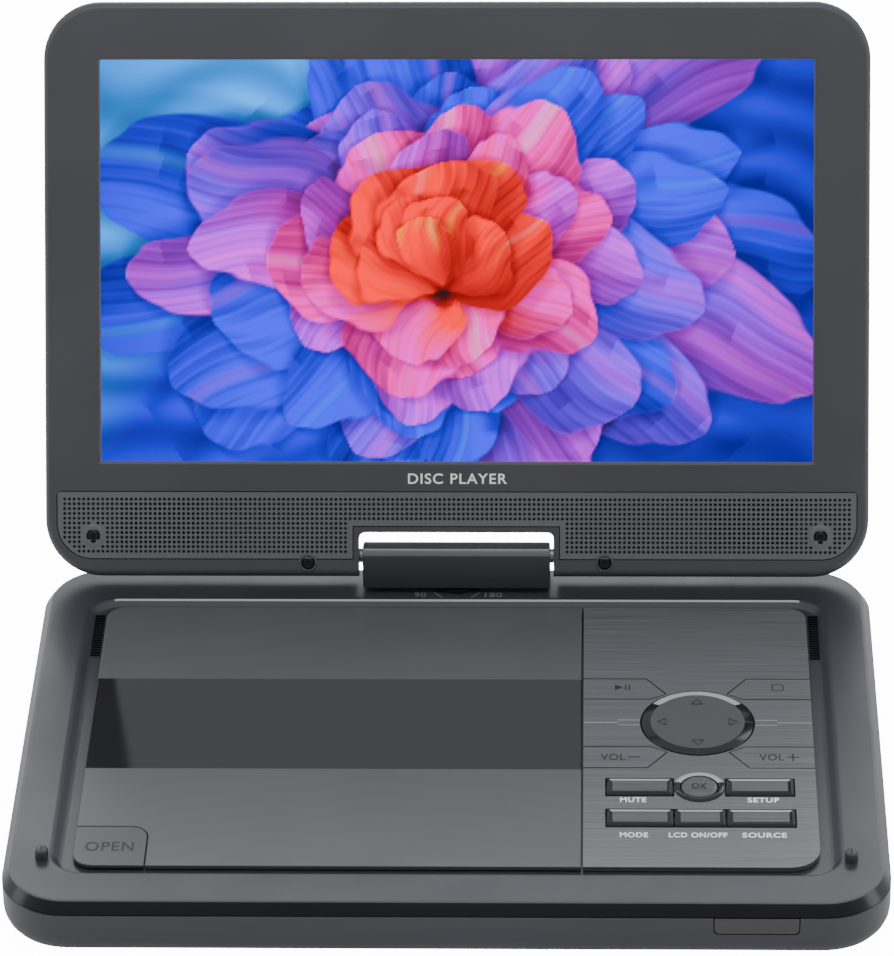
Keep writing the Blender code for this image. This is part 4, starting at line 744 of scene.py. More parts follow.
def printed(name, words, centre, width, height, material, body, top, weight=0.012):
    """Words set as a mesh, scaled to a width and a cap height, and laid flat on a surface at `top`."""
    curve = bpy.data.curves.new(name, "FONT")
    curve.body = words
    curve.align_x = "CENTER"
    curve.offset = weight
    curve.space_character = 1.12
    holder = bpy.data.objects.new(name, curve)
    bpy.context.scene.collection.objects.link(holder)
    bpy.context.view_layer.update()
    mesh = bpy.data.meshes.new_from_object(holder.evaluated_get(bpy.context.evaluated_depsgraph_get()))
    bpy.data.objects.remove(holder)
    flat = np.empty(len(mesh.vertices) * 3)
    mesh.vertices.foreach_get("co", flat)
    flat = flat.reshape(-1, 3)
    middle = (flat.min(axis=0) + flat.max(axis=0)) / 2
    size = np.ptp(flat, axis=0)
    placed = (flat - middle) * [width / size[0], height / size[1], 0.0] + [*centre, top + PRINT_RISE]
    mesh.vertices.foreach_set("co", (placed * MM).ravel())
    mesh.materials.clear()
    mesh.materials.append(material)
    obj = bpy.data.objects.new(name, mesh)
    bpy.context.scene.collection.objects.link(obj)
    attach(obj, body)
    return obj


def symbol(name, strokes, material, body, slot, top):
    """Flat polygons, each given by its corners, laid on a surface."""
    points, faces = [], []
    for stroke in strokes:
        faces.append([len(points) + k for k in range(len(stroke))])
        points += [(x, y, top + PRINT_RISE) for x, y in stroke]
    return piece(name, np.array(points), faces, material, body, slot)


def line(x0, y0, x1, y1, width):
    """Corners of a straight stroke of a given width."""
    length = math.hypot(x1 - x0, y1 - y0)
    across = np.array([-(y1 - y0), x1 - x0]) / length * width / 2
    start, stop = np.array([x0, y0]), np.array([x1, y1])
    return [tuple(start - across), tuple(stop - across), tuple(stop + across), tuple(start + across)]


def deck_y(from_middle):
    """A place on the deck, counted from the middle of the base."""
    return BASE_MIDDLE_Y + from_middle


for name, words, x, y, width in (
        ("mute_label", "MUTE", 54.8, -37.1, 7.8), ("setup_label", "SETUP", 93.3, -37.1, 9.4),
        ("mode_label", "MODE", 54.9, -54.9, 8.3), ("screen_label", "LCD ON/OFF", 73.7, -54.9, 17.2),
        ("source_label", "SOURCE", 93.2, -54.9, 13.0)):
    printed(name, words, (x, deck_y(y)), width, LABEL_HEIGHT, print_white, "base",
            PLATE_TOP, 0.03)
for name, words, x, y, width, height, body, slot, top in (
        ("ok_mark", "OK", OK_X, OK_Y, 4.6, 2.7, "ok_key", "gloss_key_plastic", OK_HIGH[2]),
        ("open_mark", "OPEN", -98.7, deck_y(-61.6), 14.2, 4.6, "open_button", "satin_black_plastic",
         OPEN_HIGH[2]),
        ("volume_down_mark", "VOL", 48.9, VOLUME_Y, 7.4, 3.4, "volume_down_key", "brushed_fascia", PLATE_TOP),
        ("volume_up_mark", "VOL", 96.4, VOLUME_Y, 7.4, 3.4, "volume_up_key", "brushed_fascia", PLATE_TOP)):
    printed(name, words, (x, y), width, height, mark_dark, body, top)
stop_corners = [(x, PLAY_Y + y) for x, y in ((97.6, -1.6), (100.9, -1.6), (100.9, 1.6), (97.6, 1.6))]
for name, body, strokes in (
        ("minus_mark", "volume_down_key", [line(53.4, VOLUME_Y, 57.0, VOLUME_Y, 0.5)]),
        ("plus_mark", "volume_up_key", [line(101.0, VOLUME_Y, 104.6, VOLUME_Y, 0.5),
                                        line(102.8, VOLUME_Y - 1.9, 102.8, VOLUME_Y + 1.9, 0.5)]),
        ("play_mark", "play_key", [[(49.6, PLAY_Y - 1.5), (52.0, PLAY_Y), (49.6, PLAY_Y + 1.5)],
                                   line(52.9, PLAY_Y - 1.5, 52.9, PLAY_Y + 1.5, 0.4),
                                   line(54.0, PLAY_Y - 1.5, 54.0, PLAY_Y + 1.5, 0.4)]),
        ("stop_mark", "stop_key", [line(*start, *stop, 0.35) for start, stop in
                                   zip(stop_corners, stop_corners[1:] + stop_corners[:1])])):
    symbol(name, strokes, mark_dark, body, "brushed_fascia", PLATE_TOP)
for name, turn in (("right", 0.0), ("back", 90.0), ("left", 180.0), ("front", 270.0)):
    cosine, sine = math.cos(math.radians(turn)), math.sin(math.radians(turn))
    spin = np.array([[cosine, -sine], [sine, cosine]])
    strokes = [[tuple(spin @ np.array(corner) + [PAD_X, PAD_Y]) for corner in line(*ends, 0.35)]
               for ends in ((9.6, -1.7, 12.2, 0.0), (12.2, 0.0, 9.6, 1.7), (9.6, 1.7, 9.6, -1.7))]
    symbol(f"pad_arrow_{name}", strokes, mark_faint, "direction_pad", "brushed_fascia", PAD_HIGH[2] - 0.06)
inlay_metal = brushed("bright_inlay", (0.45, 0.45, 0.47), 0.3, 0.1)
for name, outer, tip in (("left", PLATE_LOW[0], 50.4), ("right", PLATE_HIGH[0], 98.6)):
    pad_edge = PAD_X + math.copysign(PAD_RADIUS + 0.5, tip - PAD_X)
    strokes = [line(start, INLAY_Y + rise, stop, INLAY_Y + rise, 0.3) for start, stop, rise in
               ((outer, tip, 0.0), (tip, pad_edge, INLAY_SPREAD), (tip, pad_edge, -INLAY_SPREAD))]
    symbol(f"inlay_{name}", strokes, inlay_metal, "base", "brushed_fascia", PLATE_TOP)

# ---------------------------------------------------------------------------------------------
# Hinge: a satin block that swivels on a steel post, with a painted highlight along its top front bevel,
# and a pin out of each end that the lid's two brackets turn on.
def pin_axis(node):
    """Middle of a hinge pin in Y and Z."""
    low, high = node_span(node)
    return (low[1:] + high[1:]) / 2


PIVOT_Y, PIVOT_Z = pin_axis("hinge_pin_left")
BLOCK_LOW, BLOCK_HIGH = node_span("hinge_housing")
hinge_plastic = moulded("hinge_plastic", (0.062, 0.062, 0.07), 0.36, 0.01, 0.03)
painted_bevel_highlight = moulded("painted_bevel_highlight", (0.14, 0.14, 0.15), 0.2, 0.0, 0.02)
front, rear, bottom, top = BLOCK_LOW[1], BLOCK_HIGH[1], BLOCK_LOW[2], BLOCK_HIGH[2]
BARREL_RADIUS = 4.3
block_profile = np.vstack([arc(front + 1.0, bottom + 1.0, 1.0, 180.0, 270.0, 4),
                           arc(rear - 0.6, bottom + 0.6, 0.6, 270.0, 360.0, 4),
                           arc(rear - 0.6, PIVOT_Z - 3.6, 0.6, 0.0, 60.0, 3),
                           arc(PIVOT_Y, PIVOT_Z, BARREL_RADIUS, 10.0, 84.0, 10),
                           [(front + 3.4, top - 0.25), (front + 1.5, top - 0.15), (front + 1.2, top - 0.4),
                            (front + 0.1, top - 1.9), (front, top - 2.2)]])
rings = []
block_middle = block_profile.mean(axis=0)
for x, shrink in ((BLOCK_LOW[0], 0.6), (BLOCK_LOW[0] + 0.12, 0.2), (BLOCK_LOW[0] + 0.5, 0.0),
                  (BLOCK_HIGH[0] - 0.5, 0.0), (BLOCK_HIGH[0] - 0.12, 0.2), (BLOCK_HIGH[0], 0.6)):
    spread = block_profile - block_middle
    pulled = block_middle + spread * (1 - shrink / np.linalg.norm(spread, axis=1, keepdims=True))
    rings.append(np.column_stack([np.full(len(pulled), x), pulled]))
housing = piece("hinge_block", *carried(rings), hinge_plastic, "swivel", "gloss_key_plastic", 22.0)
# The top front bevel gets a lighter, glossier copy of the hinge plastic as a painted highlight.
paint(housing, painted_bevel_highlight, lambda x, y, z, normal: z > BLOCK_HIGH[2] - 2.1 and normal.y < -0.5
      and normal.z > 0.4 and abs(normal.x) < 0.5)
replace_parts(housing, "hinge_housing")

# ---------------------------------------------------------------------------------------------
# Lid shells, drawn in the lid's own directions: u across, v up the screen, w out of its face, from
# the hinge axis. The bezel has a rolled edge and a bevelled opening; the back shell is well rounded.
LEAN = math.radians(28.3)
BEZEL_LOW, BEZEL_HIGH = node_span("lid_bezel")
LID_HALF = (BEZEL_HIGH[0] - BEZEL_LOW[0]) / 2
LID_BOTTOM = -6.2
LID_TOP = 173.6
LID_CORNER = 18.0
FACE = 6.5
LID_BACK = -8.0
LID_SPLIT = 2.0
EDGE_ROUND = 2.2
BACK_ROUND = 7.0
OPENING_HALF = 111.95
OPENING_LOW = 29.4
OPENING_HIGH = 156.0
NOTCH_HALF = 30.5
NOTCH_TOP = 7.7


def on_lid(outline, w):
    """Points of an outline in u and v, at a height w out of the face, leaned back with the lid."""
    u, v = np.asarray(outline, dtype=float).T
    return np.column_stack([u, PIVOT_Y + v * math.sin(LEAN) - w * math.cos(LEAN),
                            PIVOT_Z + v * math.cos(LEAN) + w * math.sin(LEAN)])


def lid_ring(inset, w):
    """The lid's plan pulled in by `inset`, at a height w."""
    return on_lid(rounded_ring(-LID_HALF + inset, LID_HALF - inset, LID_BOTTOM + inset, LID_TOP - inset,
                               LID_CORNER - inset), w)


def opening_ring(inset, w):
    """The screen opening pulled in by `inset`, at a height w."""
    return on_lid(rounded_ring(-OPENING_HALF + inset, OPENING_HALF - inset, OPENING_LOW + inset,
                               OPENING_HIGH - inset, 0.5), w)


def lid_prism(outline, low, high):
    """An outline in u and v between two heights."""
    return carried([on_lid(outline, low), on_lid(outline, high)])


def lid_block(left, right, bottom, top, low, high):
    """A block in the lid's directions."""
    return lid_prism([(left, bottom), (right, bottom), (right, top), (left, top)], low, high)


def lid_turned(u, v, profile):
    """A profile of (radius, w) points carried round an axis that stands square to the lid's face."""
    return [on_lid(rounded_ring(u - r, u + r, v - r, v + r, r, 6), w) for r, w in profile]


def notch_outline(clearance):
    """The hinge notch, open below, with small corners at its top."""
    half = NOTCH_HALF + clearance
    return np.vstack([[(-half, LID_BOTTOM - 3.0), (half, LID_BOTTOM - 3.0)],
                      arc(half - 2.0, NOTCH_TOP + clearance - 2.0, 2.0, 0.0, 90.0, 5),
                      arc(-half + 2.0, NOTCH_TOP + clearance - 2.0, 2.0, 90.0, 180.0, 5)])


SCREWS = ((-114.0, 6.4), (-46.5, -1.9), (46.5, -1.9), (114.0, 6.4))
SCREW_SEAT = 2.2
GRILLE_HALF = 125.2
GRILLE_LOW = -0.6
GRILLE_HIGH = 20.3
GRILLE_STEP = 2.0
SPEAKER_U = 92.5
SPEAKER_HALF = 13.0
LEDGE_HALF = NOTCH_HALF + GRILLE_STEP
LEDGE = NOTCH_TOP + GRILLE_STEP


def grille_outline(grow):
    """The speaker band's outline: round lower corners and a step up over the hinge notch."""
    ring = rounded_ring(-GRILLE_HALF - grow, GRILLE_HALF + grow, GRILLE_LOW - grow, GRILLE_HIGH + grow,
                        (1.5, 1.5, 11.0 + grow, 11.0 + grow), 8)
    half = LEDGE_HALF - grow
    middle = len(ring) * 3 // 4
    low, high = GRILLE_LOW - grow, LEDGE - grow
    step = [(-half, low), (-half, high), (half, high), (half, low)]
    return np.vstack([ring[:middle], step, ring[middle:]])


lid_plastic = moulded("satin_lid_abs", (0.062, 0.062, 0.072), 0.42)
rolled = [(EDGE_ROUND * (1 - math.cos(a)), FACE - EDGE_ROUND * (1 - math.sin(a)))
          for a in np.radians(np.linspace(0.0, 90.0, 7))]
bezel_rings = [lid_ring(inset, LID_SPLIT + rise) for inset, rise in ((WALL, 0.15), (0.3, 0.15), (0.0, 0.45))]
bezel_rings += [lid_ring(inset, w) for inset, w in rolled]
bezel_rings += [lid_ring(EDGE_ROUND + 0.3, FACE)]
bezel_rings += [opening_ring(inset, FACE - depth) for inset, depth in
                ((-0.6, 0.0), (-0.35, 0.0), (-0.1, 0.06), (0.35, 0.5), (0.45, 0.7), (0.45, WALL))]
bezel_rings += [lid_ring(WALL, FACE - WALL)]
bezel = piece("bezel", *carried(bezel_rings, "loop"), lid_plastic, "lid", "satin_black_plastic")
cutter("grille_seat", *lid_prism(grille_outline(0.3), FACE - 1.4, FACE + 1.0), bezel)
cutter("bezel_notch", *lid_prism(notch_outline(0.0), LID_SPLIT - 1.0, FACE + 2.0), bezel)
for number, (u, v) in enumerate(SCREWS):
    hole = lid_turned(u, v, ((SCREW_SEAT, FACE - 1.3), (SCREW_SEAT, FACE + 1.0)))
    cutter(f"screw_seat_{number}", *carried(hole), bezel)
for middle in (-SPEAKER_U, SPEAKER_U):
    opening = lid_block(middle - SPEAKER_HALF, middle + SPEAKER_HALF, 2.9, 17.8, FACE - 3.0, FACE)
    cutter("speaker_opening", *opening, bezel)
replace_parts(bezel, "lid_bezel")
back_rings = [lid_ring(WALL + inset, LID_BACK + WALL + rise)
              for inset, rise in quarter(BACK_ROUND - WALL)]
back_rings += [lid_ring(WALL, LID_SPLIT), lid_ring(0.3, LID_SPLIT), lid_ring(0.0, LID_SPLIT - 0.3)]
back_rings += [lid_ring(inset, LID_BACK + rise) for inset, rise in quarter(BACK_ROUND)[::-1]]
back_rings += [lid_ring(BACK_ROUND + 0.4, LID_BACK)]
back_shell = piece("lid_back", *carried(back_rings), lid_plastic, "lid", "satin_black_plastic")
cutter("back_notch", *lid_prism(notch_outline(1.0), LID_BACK - 2.0, LID_SPLIT + 2.0), back_shell)
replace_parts(back_shell, "lid_back_shell")
wall_in, wall_out = NOTCH_HALF + 1.0, NOTCH_HALF + 3.0
for side in (-1, 1):
    profile = [(10.7, 1.9), (-4.5, 1.9), (-4.5, -1.0), (-3.0, -4.6), (0.6, -6.3), (10.7, -6.3)]
    rings = [np.vstack([on_lid([(u, v)], w) for v, w in profile])
             for u in sorted((side * wall_in, side * wall_out))]
    piece(f"notch_wall_{'left' if side < 0 else 'right'}", *carried(rings), lid_plastic, "lid",
          "satin_black_plastic")
piece("notch_wall_top", *lid_block(-wall_out, wall_out, NOTCH_TOP + 1.0, NOTCH_TOP + 3.0, -6.3, 1.9),
      lid_plastic, "lid", "satin_black_plastic")

# ---------------------------------------------------------------------------------------------
# Speaker grille: a thin band over both speakers, perforated all over with small holes except for
# a plain border. Four countersunk screws hold it and the bezel to the back shell.
GRILLE_FACE = FACE - 0.2
GRILLE_SHEET = 0.9
HOLE_RADIUS = 0.5
GRILLE_CORNER = 11.0


def grille_sheet():
    """Cells on a square pitch: each cell is a square joined by quads to an octagonal hole, border cells
    are plain, and points past the round corners are drawn in to the outline."""
    columns = np.concatenate([np.linspace(-GRILLE_HALF, -LEDGE_HALF, 63),
                              np.linspace(-LEDGE_HALF, LEDGE_HALF, 45)[1:],
                              np.linspace(LEDGE_HALF, GRILLE_HALF, 63)[1:]])
    rows = np.concatenate([np.linspace(GRILLE_LOW, LEDGE, 8), np.linspace(LEDGE, GRILLE_HIGH, 8)[1:]])
    front, rear, faces = [], [], []
    corner = GRILLE_CORNER
    for i in range(len(columns) - 1):
        for j in range(len(rows) - 1):
            u, v = (columns[i] + columns[i + 1]) / 2, (rows[j] + rows[j + 1]) / 2
            if abs(u) < LEDGE_HALF and v < LEDGE:
                continue
            reach = math.hypot(max(abs(u) - GRILLE_HALF + corner, 0.0), max(GRILLE_LOW + corner - v, 0.0))
            edge = min(GRILLE_HALF - abs(u), GRILLE_HIGH - v, v - GRILLE_LOW, corner - reach)
            if abs(u) < LEDGE_HALF + 1.6:
                edge = min(edge, v - LEDGE)
            to_screw = math.hypot(abs(u) - SCREWS[3][0], v - SCREWS[3][1])
            if to_screw < SCREW_SEAT + 0.1:
                continue
            edge = min(edge, to_screw - SCREW_SEAT - 0.9)
            half_u, half_v = (columns[i + 1] - columns[i]) / 2, (rows[j + 1] - rows[j]) / 2
            ring = [(u + half_u * a, v + half_v * b) for a, b in
                    ((1, 0), (1, 1), (0, 1), (-1, 1), (-1, 0), (-1, -1), (0, -1), (1, -1))]
            start = len(front)
            if edge < 1.1:
                faces.append([start, start + 1, start + 2, start + 3])
                front += [ring[1], ring[3], ring[5], ring[7]]
                rear += [1.0] * 4
                continue
            hole = [(u + HOLE_RADIUS * math.cos(turn), v + HOLE_RADIUS * math.sin(turn))
                    for turn in (k * math.pi / 4 for k in range(8))]
            front += ring + hole + hole
            rear += [1.0] * 16 + [0.0] * 8
            for k in range(8):
                n = (k + 1) % 8
                faces.append([start + k, start + n, start + 8 + n, start + 8 + k])
                faces.append([start + 8 + k, start + 8 + n, start + 16 + n, start + 16 + k])
    points = np.array(front)
    over = np.column_stack([np.maximum(np.abs(points[:, 0]) - GRILLE_HALF + corner, 0.0),
                            np.maximum(GRILLE_LOW + corner - points[:, 1], 0.0)])
    length = np.linalg.norm(over, axis=1)
    outside = (over.min(axis=1) > 0) & (length > corner)
    excess = over * (1 - corner / np.maximum(length, corner))[:, None]
    points[outside] += np.column_stack([-np.sign(points[:, 0]) * excess[:, 0], excess[:, 1]])[outside]
    depth = GRILLE_FACE - GRILLE_SHEET * (1 - np.array(rear))
    return on_lid_each(points, depth), faces


def on_lid_each(outline, heights):
    """Like on_lid, with a height for every point."""
    lifted = on_lid(outline, 0.0)
    lifted[:, 1] -= heights * math.cos(LEAN)
    lifted[:, 2] += heights * math.sin(LEAN)
    return lifted


grille_plastic = moulded("satin_grille_abs", (0.125, 0.124, 0.138), 0.4)
grille = piece("grille_sheet", *grille_sheet(), grille_plastic, "lid", "satin_black_plastic")
skirt = [on_lid(grille_outline(0.0), w) for w in (GRILLE_FACE - GRILLE_SHEET, GRILLE_FACE - 0.001)]
piece("grille_rim", *carried(skirt, "open"), grille_plastic, "lid", "satin_black_plastic")
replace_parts(grille, "speaker_grille")
screw_steel = moulded("black_oxide_steel", (0.035, 0.035, 0.038), 0.35, 0.05, 0.05, metallic=0.7)
HEAD = 1.9
for number, (u, v) in enumerate(SCREWS):
    head = lid_turned(u, v, ((HEAD, FACE - 1.2), (HEAD, FACE - 0.75), (HEAD - 0.25, FACE - 0.5),
                             (HEAD - 0.7, FACE - 0.4)))
    screw = piece(f"lid_screw_head_{number + 1}", *carried(head), screw_steel, "lid", "black_steel", 25.0)
    for turn in (0.4, 0.4 + math.pi / 2):
        along = np.array([math.cos(turn), math.sin(turn)])
        across = np.array([-math.sin(turn), math.cos(turn)])
        bar = [np.array([u, v]) + along * a + across * b
               for a, b in ((-1.15, -0.2), (1.15, -0.2), (1.15, 0.2), (-1.15, 0.2))]
        cutter("drive_slot", *lid_prism(bar, FACE - 0.95, FACE), screw)
    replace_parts(screw, f"lid_screw_{number + 1}")
for number, (u, v) in enumerate(SCREWS):
    at_end = number in (0, 3)
    raised = 0.06 if at_end else 0.26
    reach = 1.5 if at_end else 0.7
    base_w = GRILLE_FACE if at_end else FACE
    collar = lid_turned(u, v, ((SCREW_SEAT, FACE - 1.0), (SCREW_SEAT, base_w + raised * 0.7),
                               (SCREW_SEAT + 0.15, base_w + raised),
                               (SCREW_SEAT + reach - 0.15, base_w + raised * 0.7),
                               (SCREW_SEAT + reach, base_w - 0.02)))
    piece(f"screw_collar_{number + 1}", *carried(collar, "open"), grille_plastic if at_end else lid_plastic,
          "lid", "satin_black_plastic")

# ---------------------------------------------------------------------------------------------
# Screen: a lit panel behind the bezel. Its demonstration picture is painted here, petal by petal,
# as an abstract flower with a red heart, pink and violet petals and a blue outer ring.
PICTURE_COLUMNS = 400
PICTURE_ROWS = 226
PICTURE_HALF = OPENING_HALF + 1.0
PICTURE_LOW = OPENING_LOW - 1.0
PICTURE_HIGH = OPENING_HIGH + 1.0
PICTURE_POWER = 1.5
PICTURE_SATURATION = 1.9
SCREEN_STRENGTH = 1.45


def smooth_step(low, high, value):
    """0 below `low`, 1 above `high`, 3t^2 - 2t^3 between."""
    t = np.clip((value - low) / (high - low), 0.0, 1.0)
    return t * t * (3 - 2 * t)


def shade(red, green, blue):
    """A display colour turned into linear light by a power of 2.2."""
    return (np.array([red, green, blue]) / 255.0) ** 2.2


def petal(canvas, x, y, start, turn, length, width, base, tip, rng):
    """Paint one petal. s runs from 0 at its root to 1 at its tip and t across it; its half width is
    (4 s (1 - s))^0.6 drawn towards the tip, its veins are sin(k t + b sin s), and it darkens what it
    covers near its edge."""
    dx, dy = x - start[0], y - start[1]
    s = (dx * math.cos(turn) + dy * math.sin(turn)) / length
    bend, phase = rng.uniform(-0.35, 0.35), rng.uniform(0.0, 6.3)
    t = (-dx * math.sin(turn) + dy * math.cos(turn)) / width - bend * np.sin(np.clip(s, 0.0, 1.2) * 2.6)
    t = t + 0.07 * np.sin(9.0 * s + phase)
    inside = np.clip(s, 0.0, 1.0) ** 1.35
    half = np.clip(4 * inside * (1 - inside), 0.0, 1.0) ** 0.6 * (1 + 0.06 * np.sin(14.0 * t + phase))
    depth = np.where((s > 0) & (s < 1), half - np.abs(t), -1.0)
    shadow = smooth_step(-0.35, 0.05, np.where((s > -0.1) & (s < 1.12), half - np.abs(t), -1.0))
    canvas *= 1 - 0.3 * shadow[..., None]
    mask = smooth_step(0.0, 0.07, depth)
    side = 0.5 + 0.5 * np.tanh(2.2 * (t + 0.25 * math.sin(phase)))
    veins = 1 + (0.14 * np.sin(13.0 * t + 3.0 * np.sin(4.0 * s + phase)) + 0.13 * np.sin(37.0 * t + phase)
                 + 0.08 * np.sin(71.0 * t - 2.0 * s)) * s
    blend = smooth_step(0.0, 0.95, s + 0.12 * np.sin(5.0 * t + phase))[..., None]
    colour = (base * (1 - blend) + tip * blend) * veins[..., None] * (0.6 + 0.75 * side[..., None])
    sheen = np.exp(-((t - 0.35 * math.cos(phase)) / 0.16) ** 2) * smooth_step(0.15, 0.8, s) * 0.5
    rim = np.exp(-(depth / 0.06) ** 2) * smooth_step(0.3, 0.9, s) * rng.uniform(0.1, 0.6)
    light = (sheen + rim)[..., None]
    colour = colour * (1 - light) + (0.4 * tip + 0.6) * light
    canvas *= 1 - mask[..., None]
    canvas += np.clip(colour, 0.0, 1.0) * mask[..., None]


def paint_picture():
    """The whole picture as linear colours on a grid of rows and columns."""
    x, y = np.meshgrid(np.linspace(-1.77, 1.77, PICTURE_COLUMNS), np.linspace(-1.0, 1.0, PICTURE_ROWS))
    rng = np.random.default_rng(11)
    wave_x = x + 0.05 * np.sin(3.1 * y + 1.0) + 0.02 * np.sin(9.0 * y + 4.0 * x)
    wave_y = y + 0.05 * np.sin(2.7 * x + 2.0) + 0.02 * np.sin(8.0 * x - 5.0 * y)
    heart = np.array([-0.04, 0.12])
    angle = np.arctan2(wave_y - heart[1], wave_x - heart[0])
    reach = np.hypot(wave_x - heart[0], wave_y - heart[1])
    corner = smooth_step(0.2, 1.7, -wave_x + 0.9 * wave_y)[..., None]
    canvas = shade(22, 70, 215) * (1 - corner) + shade(20, 190, 245) * corner
    night = smooth_step(0.5, 1.7, wave_x - 0.6 * wave_y)[..., None]
    canvas = canvas * (1 - night) + shade(60, 60, 200) * night
    streaks = 0.5 + 0.5 * np.sin(26.0 * angle + 5.0 * np.sin(3.0 * reach + 2.0 * angle))
    canvas = canvas * (0.75 + 0.55 * (streaks * smooth_step(0.3, 1.3, reach))[..., None])
    blues = [shade(25, 60, 225), shade(70, 120, 245), shade(90, 165, 250), shade(45, 40, 200)]
    violets = [shade(110, 60, 230), shade(165, 85, 240), shade(205, 110, 240), shade(90, 110, 250)]
    pinks = [shade(225, 90, 190), shade(240, 130, 200), shade(200, 90, 215), shade(245, 160, 205)]
    warm = [shade(250, 120, 120), shade(245, 100, 90), shade(252, 160, 130)]
    reds = [shade(225, 45, 30), shade(240, 80, 50), shade(250, 130, 95)]
    layers = ((15, 0.10, 1.85, 0.34, blues, blues, 0.10), (13, 0.12, 1.50, 0.30, blues, violets, 0.40),
              (13, 0.12, 1.25, 0.27, violets, violets, 0.15), (11, 0.10, 1.05, 0.26, pinks, violets, 0.30),
              (9, 0.08, 0.88, 0.25, pinks, pinks, 0.05), (8, 0.05, 0.70, 0.22, warm, pinks, 0.25))
    for count, offset, length, width, roots, tips, twist in layers:
        for k in range(count):
            turn = 2 * math.pi * (k * 7 % count) / count + twist + rng.uniform(-0.12, 0.12)
            start = heart + offset * np.array([math.cos(turn), 0.7 * math.sin(turn)])
            stretch = length * rng.uniform(0.85, 1.1) * (0.72 + 0.28 * math.cos(turn) ** 2)
            stretch *= 1 - 0.45 * math.exp(-((turn % (2 * math.pi) - 2.55) / 0.38) ** 2)
            palette = violets if math.cos(turn + 0.4) > 0.25 and length > 1.1 else tips
            petal(canvas, wave_x, wave_y, start, turn, stretch, width * rng.uniform(0.8, 1.2),
                  roots[rng.integers(len(roots))] * 0.8, palette[rng.integers(len(palette))], rng)
    for turn, length, width in ((2.75, 0.46, 0.22), (0.55, 0.50, 0.20), (2.1, 0.52, 0.24), (1.05, 0.54, 0.22),
                                (1.6, 0.50, 0.24), (2.6, 0.34, 0.17), (0.7, 0.36, 0.15), (1.85, 0.38, 0.16),
                                (1.25, 0.34, 0.16), (1.6, 0.26, 0.13)):
        start = heart + np.array([-0.02, -0.22 + 0.12 * (0.5 - length)])
        length, width = 1.25 * length, 1.2 * width
        petal(canvas, wave_x, wave_y, start, turn, length, width, reds[0] * 0.8,
              warm[rng.integers(3)] if rng.random() < 0.5 else reds[rng.integers(1, 3)], rng)
    dark = 1 - 0.35 * smooth_step(1.1, 2.1, reach)
    canvas = np.clip(canvas * dark[..., None], 0.0, 1.0) ** PICTURE_POWER
    grey = canvas.mean(axis=2, keepdims=True)
    return np.clip(grey + (canvas - grey) * PICTURE_SATURATION, 0.0, None)


def make_screen_picture():
    """The painted grid laid just in front of the panel, with its colours on its corners. Glossy and
    diffuse rays see a neutral grey, so that the picture lights the deck without tinting it."""
    u, v = np.meshgrid(np.linspace(-PICTURE_HALF, PICTURE_HALF, PICTURE_COLUMNS),
                       np.linspace(PICTURE_LOW, PICTURE_HIGH, PICTURE_ROWS))
    i, j = np.meshgrid(np.arange(PICTURE_ROWS - 1), np.arange(PICTURE_COLUMNS - 1), indexing="ij")
    first = (i * PICTURE_COLUMNS + j).ravel()
    above = first + PICTURE_COLUMNS
    faces = np.stack([first, first + 1, above + 1, above], axis=1).tolist()
    points = on_lid(np.column_stack([u.ravel(), v.ravel()]), FACE - WALL - 0.25)
    material, nodes, links, shader = node_material("lit_screen")
    picture = piece("screen_picture", points, faces, material, "lid", "screen_glass")
    colours = np.ones((u.size, 4))
    colours[:, :3] = paint_picture().reshape(-1, 3)
    attribute = picture.data.color_attributes.new("picture", "FLOAT_COLOR", "POINT")
    attribute.data.foreach_set("color", colours.ravel())
    painted = nodes.new("ShaderNodeAttribute")
    painted.attribute_name = "picture"
    path = nodes.new("ShaderNodeLightPath")
    bounced = worked_out(nodes, links, "MAXIMUM", path.outputs["Is Glossy Ray"],
                         path.outputs["Is Diffuse Ray"])
    faded = nodes.new("ShaderNodeMix")
    faded.data_type = "RGBA"
    faded.inputs["B"].default_value = (0.46, 0.47, 0.50, 1.0)
    links.new(bounced, faded.inputs["Factor"])
    links.new(painted.outputs["Color"], faded.inputs["A"])
    links.new(faded.outputs["Result"], shader.inputs["Emission Color"])
    shader.inputs["Emission Strength"].default_value = SCREEN_STRENGTH
    shader.inputs["Base Color"].default_value = (0.004, 0.004, 0.005, 1.0)
    shader.inputs["Roughness"].default_value = 0.18
    return picture


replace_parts(make_screen_picture(), "screen_panel")

# ---------------------------------------------------------------------------------------------
# Deck details: fine ribs across the moat at its two rear corners, and the turning limits of the
# neck in grey figures on the rim in front of it, and the words under the screen.
RIB_PITCH = 1.35
RIB_HALF = 0.28
MOAT_IN = 109.9
MOAT_OUT = TRAY_HALF - 2.4


def moat_ribs(name, left, right_side, front, rear):
    """A row of thin ribs across the moat between two places in Y."""
    points, faces = [], []
    low, high = TRAY_FLOOR - 0.1, TRAY_FLOOR + 0.7
    for middle in np.arange(front, rear, RIB_PITCH):
        corners, quads = block(left, right_side, middle - RIB_HALF, middle + RIB_HALF, low, high)
        faces += [[len(points) + k for k in quad] for quad in quads]
        points += corners.tolist()
    piece(name, np.array(points), faces, polished_black, "base", "satin_black_plastic")


moat_ribs("ribs_left", -MOAT_OUT, -MOAT_IN, deck_y(42.0), deck_y(64.0))
moat_ribs("ribs_right", MOAT_IN, MOAT_OUT, deck_y(41.0), deck_y(64.0))
for name, words, x, width in (("left", "90", -11.4, 3.6), ("right", "180", 11.6, 5.4)):
    printed(f"turn_limit_{name}", words, (x, deck_y(74.2)), width, 2.6, mark_grey, "base",
            RIM_TOP)
symbol("turn_strokes", [line(side * 7.2, deck_y(75.6), side * 4.6, deck_y(72.6), 0.4) for side in (-1, 1)],
       mark_grey, "base", "satin_black_plastic", RIM_TOP)


